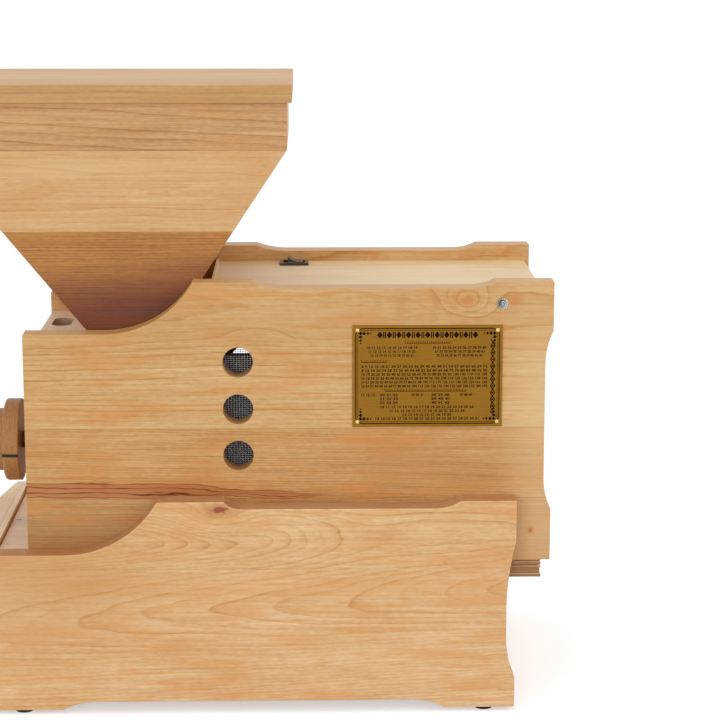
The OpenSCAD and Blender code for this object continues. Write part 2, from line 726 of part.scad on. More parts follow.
rocker_l = 17.1;
rocker_w = 17.6;
rocker_h = 6;
rocker_dip = 3.8;
well_l = 22.8;
pivot_z = switch_z - 2;
tilt = 17;
module switch_body() color("#1a1a1a") difference() {
    union() {
        translate([switch_x - switch_l / 2, switch_y - switch_w / 2, deck_z])
            cube([switch_l, switch_w, switch_z - deck_z]);
        translate([switch_x - neck_l / 2, switch_y - neck_w / 2, deck_z - neck_h])
            cube([neck_l, neck_w, neck_h + eps]);
        for (x = [-8, 0, 8], y = [-6, 6])
            translate([switch_x + x - 0.4, switch_y + y - 3, deck_z - neck_h - 9]) cube([0.8, 6, 9 + eps]);
    }
    translate([switch_x - well_l / 2, switch_y - rocker_w / 2 - 0.3, pivot_z - 9])
        cube([well_l, rocker_w + 0.6, 12]);
    translate([switch_x, switch_y, pivot_z]) rotate([90, 0, 0])
        cylinder(h = rocker_w + 3, r = 1.55, center = true);
}
// The rocker has a hollow top and stands tilted, with its front end raised
module switch_rocker() color("#141414") translate([switch_x, switch_y, pivot_z]) rotate([0, tilt, 0]) {
    translate([0, rocker_w / 2, 0]) rotate([90, 0, 0]) linear_extrude(rocker_w) polygon(concat(
        [for (t = [-1:0.125:1]) [t * rocker_l / 2, rocker_dip + (rocker_h - rocker_dip) * t * t]],
        [[rocker_l / 2 - 0.6, -1], [4, -4.5], [-4, -4.5], [-rocker_l / 2 + 0.6, -1]]));
    rotate([90, 0, 0]) cylinder(h = rocker_w + 1.4, r = 1.5, center = true);
}

gland_r = 8;
gland_y = -70;
gland_z = 36;
cord_r = 3.6;
module cable_gland() color("#1f1f1f") difference() {
    union() {
        bar_x(rear_panel_x - 6, rear_panel_x + board_t, gland_r, y = gland_y, z = gland_z);
        bar_x(rear_panel_x + board_t, rear_panel_x + board_t + 3, gland_r + 3, y = gland_y, z = gland_z);
        translate([rear_panel_x + board_t + 3, gland_y, gland_z]) rotate([0, 90, 0])
            cylinder(h = 9, r1 = gland_r + 1, r2 = gland_r - 2);
        translate([rear_panel_x - 6, gland_y, gland_z]) rotate([0, 90, 0])
            cylinder(h = 6, r = gland_r + 3, $fn = 6);
    }
    bar_x(rear_panel_x - 7, rear_panel_x + board_t + 13, cord_r, y = gland_y, z = gland_z);
}

// ---- Base and drawer ----

cheek_x = 38;
cheek_end = cheek_x + sqrt(pow(cheek_arc_r, 2) - pow(cheek_arc_r - (cheek_top - cheek_low), 2));
// Shallow recess in the cheeks' top edge, and a tall hollow in their rear edge
cheek_wave_d = 7.5;
cheek_x0 = cheek_end + 66;
cheek_x1 = base_rear_x - 55.5;
tall_d = 9;
tall_top = cheek_top - 42.5;
tall_l = 70;
tall_foot_l = 45;
foot_z = foot_h - base_h;
foot_lip = 30;
foot_l = 70;
foot_rise = 8;
module base_cheek() plank_xz(-half_base, cheek_t) polygon(concat(
    [[base_front_x, foot_z], [base_front_x, cheek_low]],
    hollow(cheek_x, cheek_low, cheek_end, cheek_top),
    back(hollow(cheek_x0 + wave_l / 2, cheek_top - cheek_wave_d, cheek_x0, cheek_top)),
    hollow(cheek_x1 - short_l, cheek_top - cheek_wave_d, cheek_x1, cheek_top),
    [[base_rear_x, cheek_top]],
    swap(back(hollow(tall_top - tall_l, base_rear_x - tall_d, tall_top, base_rear_x))),
    swap(hollow(foot_z + foot_lip + tall_foot_l, base_rear_x - tall_d, foot_z + foot_lip, base_rear_x)),
    [[base_rear_x, foot_z]],
    back(hollow(base_rear_x - foot_l - wave_l, foot_z + foot_rise, base_rear_x - foot_l, foot_z)),
    hollow(base_front_x + foot_l + wave_l, foot_z + foot_rise, base_front_x + foot_l, foot_z)));
module base_cheek_near() color("#dcaf76") base_cheek();
module base_cheek_far() color("#dcaf76") mirror([0, 1, 0]) base_cheek();

// Deck with a moulded edge on the two sides and the rear: fillets with hollows between them
deck_rear_x = housing_l - 9;
module edge_cut(top, bottom, depth) difference() {
    box([base_front_x - eps, -half_w - eps, -bottom], [deck_rear_x + eps, half_w + eps, -top]);
    box([base_front_x - 2 * eps, -half_w + depth, -bottom - eps],
        [deck_rear_x - depth, half_w - depth, -top + eps]);
}
module base_deck() color("#d2b79a") difference() {
    box([base_front_x, -half_w, -base_deck_t], [deck_rear_x, half_w, 0]);
    edge_cut(0.8, 2.6, 2.5);
    edge_cut(4.8, 7, 2.5);
    edge_cut(8, base_deck_t - 3, 1);
    box([chute_x0 - chute_t, -chute_w / 2 - chute_t, -base_deck_t - eps],
        [chute_x1 + chute_t, chute_w / 2 + chute_t, eps]);
    base_screws();
}

module base_back() color("#cfa26c")
    box([base_back_x, -half_w, drawer_foot], [base_back_x + board_t, half_w, -base_deck_t]);
module drawer_runners() color("#c79a63") both_sides()
    box([base_front_x, -half_w, drawer_foot], [base_back_x, -half_w + runner_w, runner_z]);

drawer_half = half_w - 1.5;
bow_r = (pow(half_base, 2) + pow(bow, 2)) / (2 * bow);
front_top = 5.5;
module drawer_front() color("#e2c6a2") difference() {
    intersection() {
        box([drawer_front_x - front_skin - bow - 1, -half_base, drawer_foot + 2],
            [drawer_front_x, half_base, front_top]);
        translate([drawer_front_x - front_skin - bow + bow_r, 0, drawer_foot])
            cylinder(h = base_h, r = bow_r, $fn = 720);
    }
    bar_x(drawer_front_x - front_skin - bow - 1, drawer_front_x - front_skin - bow + tenon_l,
        tenon_r, z = pull_z);
}
module drawer_sides() color("#d8b68c") both_sides() difference() {
    box([drawer_front_x, -drawer_half, side_z], [drawer_back_x, -drawer_half + drawer_t, drawer_top]);
    box([drawer_front_x - eps, -drawer_half + drawer_t - 5, side_z + 5],
        [drawer_back_x + eps, -drawer_half + drawer_t + eps, side_z + 11]);
}
module drawer_back() color("#d8b68c")
    box([drawer_back_x - drawer_t, -drawer_half + drawer_t, side_z + 11],
        [drawer_back_x, drawer_half - drawer_t, drawer_top]);
module drawer_bottom() color("#cfae84")
    box([drawer_front_x, -drawer_half + drawer_t - 5, side_z + 5],
        [drawer_back_x, drawer_half - drawer_t + 5, side_z + 11]);

pull_z = (drawer_foot + front_top) / 2;
pull_l = 20;
pull_r = 17;
pull_foot_r = 8;
pull_round = 5;
tenon_r = 4;
tenon_l = 9;
// Turned pull: a tenon in the drawer's front, a waist and a round head
module drawer_pull() color("#dfc3a0")
    translate([drawer_front_x - front_skin - bow, 0, pull_z]) rotate([0, -90, 0])
        rotate_extrude() polygon(concat(
    [[0, -tenon_l], [tenon_r, -tenon_l], [tenon_r, 0], [pull_foot_r, 0], [pull_foot_r, 3],
        [pull_foot_r - 1.5, 8]],
    [for (a = [-30:15:90])
        [pull_r - pull_round + pull_round * cos(a), pull_l - pull_round + pull_round * sin(a)]],
    [[0, pull_l]]));

module rubber_feet() color("#2a2a2a") both_sides() for (x = [base_front_x + 30, base_rear_x - 30])
    translate([x, half_w + cheek_t / 2, -base_h]) cylinder(h = foot_h, r = 9);

placed() side_panel_near();
placed() side_panel_far();
placed() front_board();
placed() chamber_cover();
placed() feed_board();
placed() bulkhead();
placed() motor_deck();
placed() rear_panel();
placed() vent_screens();
placed() dust_fleece();
placed() maker_plate();
placed() plate_pins();
placed() panel_screws();
placed() base_screws();
placed() hopper_side_near();
placed() hopper_side_far();
placed() hopper_front();
placed() hopper_rear();
placed() hopper_slopes();
placed() lid();
placed() lid_inset();
placed() knob();
placed() spindle();
placed() spindle_bush();
placed() stone_carrier();
placed() fixed_stone();
placed() guide_rods();
placed() running_stone();
placed() stone_hub();
placed() auger();
placed() stone_chamber();
placed() feed_duct();
placed() flour_chute();
placed() motor_housing();
placed() front_shield();
placed() rear_shield();
placed() stator_core();
placed() stator_windings();
placed() rotor_core();
placed() motor_shaft();
placed() motor_bearings();
placed() fan();
placed() fan_cowl();
placed() capacitor();
placed() terminal_box();
placed() motor_screws();
placed() switch_body();
placed() switch_rocker();
placed() cable_gland();
placed() base_cheek_near();
placed() base_cheek_far();
placed() base_deck();
placed() base_back();
placed() drawer_runners();
placed() drawer_front();
placed() drawer_sides();
placed() drawer_back();
placed() drawer_bottom();
placed() drawer_pull();
placed() rubber_feet();
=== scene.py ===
"""Looks of a household grain mill: glued softwood boards with eased edges, woven screens
behind the vents, an engraved brass plate, and the finishes of its metal and moulded parts."""

import math
from collections import namedtuple

import bmesh
import bpy
from mathutils import Matrix, Vector


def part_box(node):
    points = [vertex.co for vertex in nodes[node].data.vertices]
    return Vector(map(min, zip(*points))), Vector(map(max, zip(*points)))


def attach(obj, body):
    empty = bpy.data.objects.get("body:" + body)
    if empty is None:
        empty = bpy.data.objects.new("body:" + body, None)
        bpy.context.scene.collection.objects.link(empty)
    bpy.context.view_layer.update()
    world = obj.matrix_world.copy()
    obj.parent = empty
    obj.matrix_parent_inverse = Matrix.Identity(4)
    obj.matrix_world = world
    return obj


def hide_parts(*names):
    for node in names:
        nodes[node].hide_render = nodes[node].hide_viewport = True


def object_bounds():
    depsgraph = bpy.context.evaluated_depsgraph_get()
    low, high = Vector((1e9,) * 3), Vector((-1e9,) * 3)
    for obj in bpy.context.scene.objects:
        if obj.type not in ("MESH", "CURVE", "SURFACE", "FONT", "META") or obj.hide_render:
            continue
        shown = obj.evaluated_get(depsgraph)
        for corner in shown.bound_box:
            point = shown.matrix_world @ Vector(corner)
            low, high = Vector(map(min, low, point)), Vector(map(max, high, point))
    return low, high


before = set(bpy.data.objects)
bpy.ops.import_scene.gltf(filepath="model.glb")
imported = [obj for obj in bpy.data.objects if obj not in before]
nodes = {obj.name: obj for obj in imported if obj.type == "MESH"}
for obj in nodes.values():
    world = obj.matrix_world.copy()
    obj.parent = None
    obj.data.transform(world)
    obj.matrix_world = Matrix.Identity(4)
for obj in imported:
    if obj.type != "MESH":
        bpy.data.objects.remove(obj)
cad_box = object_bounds()

MM = 0.001

# The mill's own frame, in millimetres: x from the side panels' front edge, z from their foot
PANEL_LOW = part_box("side_panel_near")[0]
FRONT_X = PANEL_LOW.x / MM
FOOT_Z = PANEL_LOW.z / MM

# The near faces of the boards
NEAR_FACE = PANEL_LOW.y / MM
CHEEK_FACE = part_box("base_cheek_near")[0].y / MM
HOPPER_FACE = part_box("hopper_side_near")[0].y / MM


def row_point(x, y, z):
    """A point of the mill's own frame, in the row frame and in millimetres."""
    return (x + FRONT_X, y, z + FOOT_Z)


# ---- Camera, light and floor ----

CAMERA_PLACE = (0.0627, -2.282, 0.7797)
CAMERA_PITCH = 11.217
CAMERA_YAW = 1.4016
CAMERA_ROLL = 0.0656
LENS = 111
SKY = 0.62
FLOOR_LIFT = 0.5
FLOOR_HALF = 30
FLOOR_COLOUR = (0.80, 0.80, 0.80, 1)
WHITE = (1, 1, 1, 1)


def make_camera():
    data = bpy.data.cameras.new("camera")
    data.lens = LENS
    data.sensor_width = 36
    data.clip_end = 100
    camera = bpy.data.objects.new("camera", data)
    camera.location = CAMERA_PLACE
    turns = (90 - CAMERA_PITCH, -CAMERA_ROLL, -CAMERA_YAW)
    camera.rotation_euler = [math.radians(turn) for turn in turns]
    bpy.context.scene.collection.objects.link(camera)
    bpy.context.scene.camera = camera


def soft_box(name, place, size, power):
    """A large square lamp that points at the mill."""
    data = bpy.data.lights.new(name, "AREA")
    data.shape = "SQUARE"
    data.size = size
    data.energy = power
    lamp = bpy.data.objects.new(name, data)
    lamp.location = place
    target = (cad_box[0] + cad_box[1]) / 2
    lamp.rotation_euler = (target - Vector(place)).to_track_quat("-Z", "Y").to_euler()
    bpy.context.scene.collection.objects.link(lamp)


def make_lamps():
    soft_box("front_lamp", (-0.9, -3.2, 0.9), 2.4, 26)
    soft_box("right_lamp", (2.6, -1.8, 1.6), 1.8, 14)
    soft_box("top_lamp", (-0.4, -0.6, 3.4), 2.4, 16)


def make_world():
    """A plain sky: dimmer as a light than as the white background that shows."""
    world = bpy.data.worlds.new("studio")
    bpy.context.scene.world = world
    world.use_nodes = True
    tree = Tree(world.node_tree)
    sky = world.node_tree.nodes["Background"]
    sky.inputs["Color"].default_value = WHITE
    tree.feed(sky.inputs["Strength"], tree.mix("FLOAT", seen_directly(tree), SKY, 1.0))


def seen_directly(tree):
    """1 for rays from the camera, from a mirror or through glass."""
    path = tree.add("LightPath").outputs
    seen = tree.math("MAXIMUM", path["Is Camera Ray"], path["Is Glossy Ray"])
    return tree.math("MAXIMUM", seen, path["Is Transmission Ray"])


def make_floor():
    """A pale floor that shows as white and keeps the mill's shadow."""
    bm = bmesh.new()
    bmesh.ops.create_grid(bm, x_segments=1, y_segments=1, size=FLOOR_HALF)
    floor = mesh_object("floor", bm)
    material = bpy.data.materials.new("floor_paper")
    material.use_nodes = True
    tree = Tree(material.node_tree)
    shader = material.node_tree.nodes["Principled BSDF"]
    shader.inputs["Base Color"].default_value = FLOOR_COLOUR
    shader.inputs["Roughness"].default_value = 0.9
    shader.inputs["Specular IOR Level"].default_value = 0.1
    shader.inputs["Emission Color"].default_value = WHITE
    tree.feed(shader.inputs["Emission Strength"], tree.mix("FLOAT", seen_directly(tree), 0.0, FLOOR_LIFT))
    floor.data.materials.append(material)


# ---- Making of meshes ----

WELD = 0.002  # corners nearer than this become one, in millimetres
FLAT_ANGLE = 0.6  # faces that meet at less than this become one, in degrees
SHARP_ANGLE = 30  # edges over this are rounded off, in degrees


def mesh_object(name, bm):
    """A new object from a bmesh, at the origin, with faces that point outwards."""
    mesh = bpy.data.meshes.new(name)
    bm.to_mesh(mesh)
    bm.free()
    made = bpy.data.objects.new(name, mesh)
    bpy.context.scene.collection.objects.link(made)
    return made


def smooth_over(piece, angle=40):
    """Smooth shading that keeps flat faces flat and edges above the angle sharp."""
    for face in piece.data.polygons:
        face.use_smooth = True
    piece.data.set_sharp_from_angle(angle=math.radians(angle))
    weighted = piece.modifiers.new("weighted", "WEIGHTED_NORMAL")
    weighted.keep_sharp = True


def eased(node, width, material, segments=2, body="frame"):
    """A piece for a CAD node, with its sharp edges rounded off. The faces of the rounding are marked, so
    that a material can paint a highlight on them."""
    bm = bmesh.new()
    bm.from_mesh(nodes[node].data)
    bmesh.ops.remove_doubles(bm, verts=bm.verts, dist=WELD * MM)
    bmesh.ops.dissolve_limit(bm, angle_limit=math.radians(FLAT_ANGLE), verts=bm.verts, edges=bm.edges)
    arris = bm.faces.layers.float.new("arris")
    sharp = [e for e in bm.edges if e.is_manifold and e.calc_face_angle() > math.radians(SHARP_ANGLE)]
    made = bmesh.ops.bevel(
        bm, geom=sharp, offset=width * MM, offset_type="OFFSET", segments=segments,
        profile=0.5, affect="EDGES", clamp_overlap=True, material=-1)
    for face in made["faces"]:
        face[arris] = 1.0
    piece = mesh_object("eased_" + node, bm)
    smooth_over(piece)
    piece.data.materials.append(material)
    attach(piece, body)
    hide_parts(node)
    return piece


# ---- Shader trees ----

MIX_SOCKETS = {"FLOAT": (2, 3, 0), "VECTOR": (4, 5, 1), "RGBA": (6, 7, 2)}


class Tree:
    """A shader tree with short ways to add nodes and join them."""

    def __init__(self, tree):
        self.tree = tree

    def feed(self, socket, value):
        """Joins a socket to the input, or sets the input's value."""
        if isinstance(value, bpy.types.NodeSocket):
            self.tree.links.new(value, socket)
        else:
            socket.default_value = value

    def add(self, kind, *inputs, **settings):
        """A new node, with its first inputs fed in order."""
        node = self.tree.nodes.new("ShaderNode" + kind)
        for key, value in settings.items():
            setattr(node, key, value)
        for socket, value in zip(node.inputs, inputs):
            self.feed(socket, value)
        return node

    def math(self, operation, *values):
        return self.add("Math", *values, operation=operation).outputs[0]

    def vector(self, operation, *values):
        node = self.add("VectorMath", *values, operation=operation)
        return node.outputs["Value" if operation == "LENGTH" else "Vector"]

    def scaled(self, vector, factor):
        node = self.add("VectorMath", vector, operation="SCALE")
        self.feed(node.inputs["Scale"], factor)
        return node.outputs["Vector"]

    def mix(self, kind, factor, a, b, blend="MIX"):
        node = self.add("Mix", factor, data_type=kind, blend_type=blend)
        first, second, result = MIX_SOCKETS[kind]
        self.feed(node.inputs[first], a)
        self.feed(node.inputs[second], b)
        return node.outputs[result]

    def smooth(self, value, low, high, to_low=0.0, to_high=1.0):
        """A smooth step of the value from low to high."""
        node = self.add("MapRange", value, low, high, to_low, to_high, interpolation_type="SMOOTHSTEP")
        return node.outputs[0]

    def noise(self, vector, size, detail=2.0):
        """Noise whose spots have this size, a number or one for each axis."""
        if not hasattr(size, "__len__"):
            size = (size, size, size)
        spread = self.vector("MULTIPLY", vector, [1 / part for part in size])
        node = self.add("TexNoise", spread)
        node.inputs["Scale"].default_value = 1.0
        node.inputs["Detail"].default_value = detail
        return node.outputs["Fac"]

    def group(self, group, **inputs):
        """A node group, fed by the names of its inputs."""
        node = self.tree.nodes.new("ShaderNodeGroup")
        node.node_tree = group
        for name, value in inputs.items():
            self.feed(node.inputs[name.replace("_", " ").title()], value)
        return node.outputs

    def millimetres(self):
        """The place on the piece, in millimetres of the row frame."""
        return self.scaled(self.add("TexCoord").outputs["Object"], 1 / MM)


def new_group(name, inputs, outputs):
    """A node group with named sockets: the tree, its inputs and its output node."""
    group = bpy.data.node_groups.new(name, "ShaderNodeTree")
    for socket, kind in inputs.items():
        group.interface.new_socket(socket, in_out="INPUT", socket_type="NodeSocket" + kind)
    for socket, kind in outputs.items():
        group.interface.new_socket(socket, in_out="OUTPUT", socket_type="NodeSocket" + kind)
    tree = Tree(group)
    given = group.nodes.new("NodeGroupInput").outputs
    result = group.nodes.new("NodeGroupOutput").inputs
    return group, tree, given, result


def new_material(name, **values):
    """A material with plain values on its shader: the material, its tree and the shader."""
    material = bpy.data.materials.new(name)
    material.use_nodes = True
    shader = material.node_tree.nodes["Principled BSDF"]
    for key, value in values.items():
        shader.inputs[key.replace("_", " ").title().replace("Ior", "IOR")].default_value = value
    return material, Tree(material.node_tree), shader


def bump(tree, shader, height, distance, strength=1.0):
    """Relief on the shader from a height, with its depth in millimetres."""
    node = tree.add("Bump")
    node.inputs["Strength"].default_value = strength
    node.inputs["Distance"].default_value = distance * MM
    tree.feed(node.inputs["Height"], height)
    tree.feed(shader.inputs["Normal"], node.outputs["Normal"])


def srgb(red, green, blue):
    """A colour given in the usual 0 to 255 scale, as linear light."""
    parts = [part / 255 for part in (red, green, blue)]
    return (*[p / 12.92 if p <= 0.04045 else ((p + 0.055) / 1.055) ** 2.4 for p in parts], 1.0)


# ---- Wood ----


def make_board_grain():
    """Growth rings about a heart line that leans by the tilt for each unit along the grain,
    with fibres, clouds and pores. Lengths are in millimetres, and the grain runs along the
    vector's first axis."""
    group, tree, given, result = new_group(
        "board_grain",
        {"Vector": "Vector", "Heart": "Vector", "Tilt": "Vector", "Pitch": "Float", "Waves": "Float",
         "Figure": "Float", "Face": "Color", "Ring": "Color", "Warm": "Color",
         "Rings": "Float", "Fibres": "Float", "Clouds": "Float"},
        {"Color": "Color", "Roughness": "Float", "Height": "Float"})
    place = given["Vector"]
    offset = tree.vector("SUBTRACT", place, given["Heart"])
    along = tree.add("SeparateXYZ", offset).outputs["X"]
    across = tree.vector("SUBTRACT", offset, tree.scaled(given["Tilt"], along))
    radius = tree.vector("LENGTH", tree.vector("MULTIPLY", across, (0, 1, 1)))
    long_wave = tree.math("SUBTRACT", tree.noise(place, (300, 80, 80)), 0.5)
    short_wave = tree.math("SUBTRACT", tree.noise(place, (60, 16, 16), 3.0), 0.5)
    wave = tree.math("MULTIPLY_ADD", short_wave, 0.3, long_wave)
    bent = tree.math("MULTIPLY_ADD", wave, given["Waves"], radius)
    bent = tree.math("ADD", bent, given["Figure"])
    field = tree.math("DIVIDE", bent, given["Pitch"])
    part = tree.math("FRACT", field)
    shade = tree.math("MULTIPLY", tree.smooth(part, 0.3, 0.95), 0.45)
    late = tree.math("MULTIPLY_ADD", tree.smooth(part, 0.8, 0.94), 0.55, shade)
    late = tree.math("MULTIPLY", late, tree.smooth(part, 1.0, 0.95))
    year = tree.add("TexWhiteNoise", noise_dimensions="1D")
    tree.feed(year.inputs["W"], tree.math("FLOOR", field))
    late = tree.math("MULTIPLY", late, tree.smooth(year.outputs["Value"], 0.0, 1.0, 0.3, 1.0))

    coarse = tree.smooth(tree.noise(place, (170, 3.4, 3.4), 2.0), 0.34, 0.66)
    fine = tree.smooth(tree.noise(place, (60, 1.2, 1.2), 1.0), 0.32, 0.68)
    fibre = tree.math("SUBTRACT", tree.mix("FLOAT", 0.5, coarse, fine), 0.5)
    cloud = tree.smooth(tree.noise(place, (95, 24, 24), 3.0), 0.48, 0.70)
    dash = tree.smooth(tree.noise(place, (30, 4.2, 4.2), 1.0), 0.58, 0.74)
    pore = tree.smooth(tree.noise(place, (9, 0.9, 0.9), 0.0), 0.70, 0.80)
    patch = tree.math("SUBTRACT", tree.noise(place, (110, 30, 30), 2.0), 0.5)
    speck = tree.math("SUBTRACT", tree.noise(place, (7, 2.4, 2.4), 2.0), 0.5)

    # Late wood and dark fibres go towards the ring's colour, pale fibres away from it
    tone = tree.math("MULTIPLY", late, given["Rings"])
    tone = tree.math("MULTIPLY_ADD", fibre, given["Fibres"], tone)
    tone = tree.math("MULTIPLY_ADD", patch, -0.7, tone)
    tone = tree.math("MULTIPLY_ADD", speck, 0.8, tone)
    step = tree.vector("SUBTRACT", given["Ring"], given["Face"])
    color = tree.vector("ADD", given["Face"], tree.scaled(step, tone))
    warm = tree.math("MULTIPLY", tree.math("MAXIMUM", cloud, dash), given["Clouds"])
    color = tree.mix("RGBA", warm, color, given["Warm"])
    light = tree.math("MULTIPLY_ADD", pore, -0.08, 1.0)
    tree.feed(result["Color"], tree.scaled(color, light))
    tree.feed(result["Roughness"], tree.math("MULTIPLY_ADD", fibre, -0.12, 0.44))
    height = tree.math("MULTIPLY_ADD", late, -0.6, tree.math("MULTIPLY", fibre, 0.5))
    tree.feed(result["Height"], height)
    return group


def make_knot():
    """A knot: how far it lifts the rings about it, and its own dark core."""
    group, tree, given, result = new_group(
        "knot",
        {"Vector": "Vector", "Centre": "Vector", "Reach": "Vector", "Core Size": "Float"},
        {"Lift": "Float", "Core": "Float", "Halo": "Float"})
    away = tree.vector("DIVIDE", tree.vector("SUBTRACT", given["Vector"], given["Centre"]), given["Reach"])
    distance = tree.vector("LENGTH", away)
    square = tree.math("MULTIPLY", distance, distance)
    tree.feed(result["Lift"], tree.math("EXPONENT", tree.math("MULTIPLY", square, -1.0)))
    ragged = tree.math("MULTIPLY_ADD", tree.noise(given["Vector"], (6, 3, 3), 3.0), 1.6, 0.2)
    edge = tree.math("DIVIDE", tree.math("MULTIPLY", distance, ragged), given["Core Size"])
    tree.feed(result["Core"], tree.smooth(edge, 1.2, 0.6))
    tree.feed(result["Halo"], tree.smooth(edge, 3.4, 0.8))
    return group


def make_resin_streak():
    """Dark lines that run together to a point, as resin does in a softwood board."""
    group, tree, given, result = new_group(
        "resin_streak",
        {"Vector": "Vector", "Start": "Vector", "Length": "Float", "Height": "Float"},
        {"Line": "Float", "Fill": "Float"})
    split = tree.add("SeparateXYZ", tree.vector("SUBTRACT", given["Vector"], given["Start"])).outputs
    along = tree.math("DIVIDE", split["X"], given["Length"])
    taper = tree.math("SUBTRACT", 1.0, tree.math("POWER", tree.math("ABSOLUTE", along), 2.2))
    wobble = tree.math("MULTIPLY", tree.math("SUBTRACT", tree.noise(given["Vector"], (48, 9, 9)), 0.5), 9.0)
    height = tree.math("MULTIPLY", given["Height"], tree.math("MAXIMUM", taper, 0.01))
    part = tree.math("DIVIDE", tree.math("ADD", split["Z"], wobble), height)
    inside = tree.math("MULTIPLY", tree.smooth(part, -0.06, 0.02), tree.smooth(part, 1.08, 0.98))
    ends = tree.math("MULTIPLY", tree.smooth(along, 1.0, 0.86), tree.smooth(along, -0.4, -0.2))
    inside = tree.math("MULTIPLY", inside, ends)
    wave = tree.math("ABSOLUTE", tree.math("SINE", tree.math("MULTIPLY", part, math.pi * 3.0)))
    line = tree.smooth(wave, 0.5, 0.06)
    near_side = tree.math("LESS_THAN", split["Y"], 0.0)
    tree.feed(result["Line"], tree.math("MULTIPLY", tree.math("MULTIPLY", line, inside), near_side))
    tree.feed(result["Fill"], tree.math("MULTIPLY", inside, near_side))
    return group


BOARD_GRAIN = make_board_grain()
KNOT = make_knot()
RESIN_STREAK = make_resin_streak()

# A glued strip: where it starts, a point of its heart line and how that line leans in y and z,
# the width of a year's growth, colours, and how far the rings wander
Strip = namedtuple("Strip", "start heart tilt pitch face ring waves", defaults=(12,))
# A knot: its centre and reach, by how much it lifts the rings, and its core's size and colour
Knot = namedtuple("Knot", "centre reach lift core colour", defaults=(0, None))
# A place where the wood has another colour, with soft ends
Tint = namedtuple("Tint", "centre reach colour amount")

WARM = srgb(214, 142, 66)
KNOT_COLOUR = srgb(134, 66, 34)
HALO_STRENGTH = 0.35
CORE_STRENGTH = 0.85
RESIN_COLOUR = srgb(180, 104, 50)
RESIN_LINE_COLOUR = srgb(112, 46, 14)
RESIN_STRENGTH = 0.7
ARRIS_HIGHLIGHT = 1.12


def strips_over(tree, coordinate, strips):
    """The heart, growth width, colours and waves of the strip at this place."""
    first = strips[0]
    values = [first.heart, (0, *first.tilt), first.pitch, first.face, first.ring, first.waves]
    for strip in strips[1:]:
        beyond = tree.math("GREATER_THAN", coordinate, strip.start)
        following = [strip.heart, (0, *strip.tilt), strip.pitch, strip.face, strip.ring, strip.waves]
        kinds = ("VECTOR", "VECTOR", "FLOAT", "RGBA", "RGBA", "FLOAT")
        values = [tree.mix(kind, beyond, a, b) for kind, a, b in zip(kinds, values, following)]
    return values


def glue_lines(tree, coordinate, strips):
    """Thin dark lines where two strips meet."""
    line = 0.0
    for strip in strips[1:]:
        away = tree.math("ABSOLUTE", tree.math("SUBTRACT", coordinate, strip.start))
        line = tree.math("MAXIMUM", line, tree.smooth(away, 0.7, 0.1))
    return line


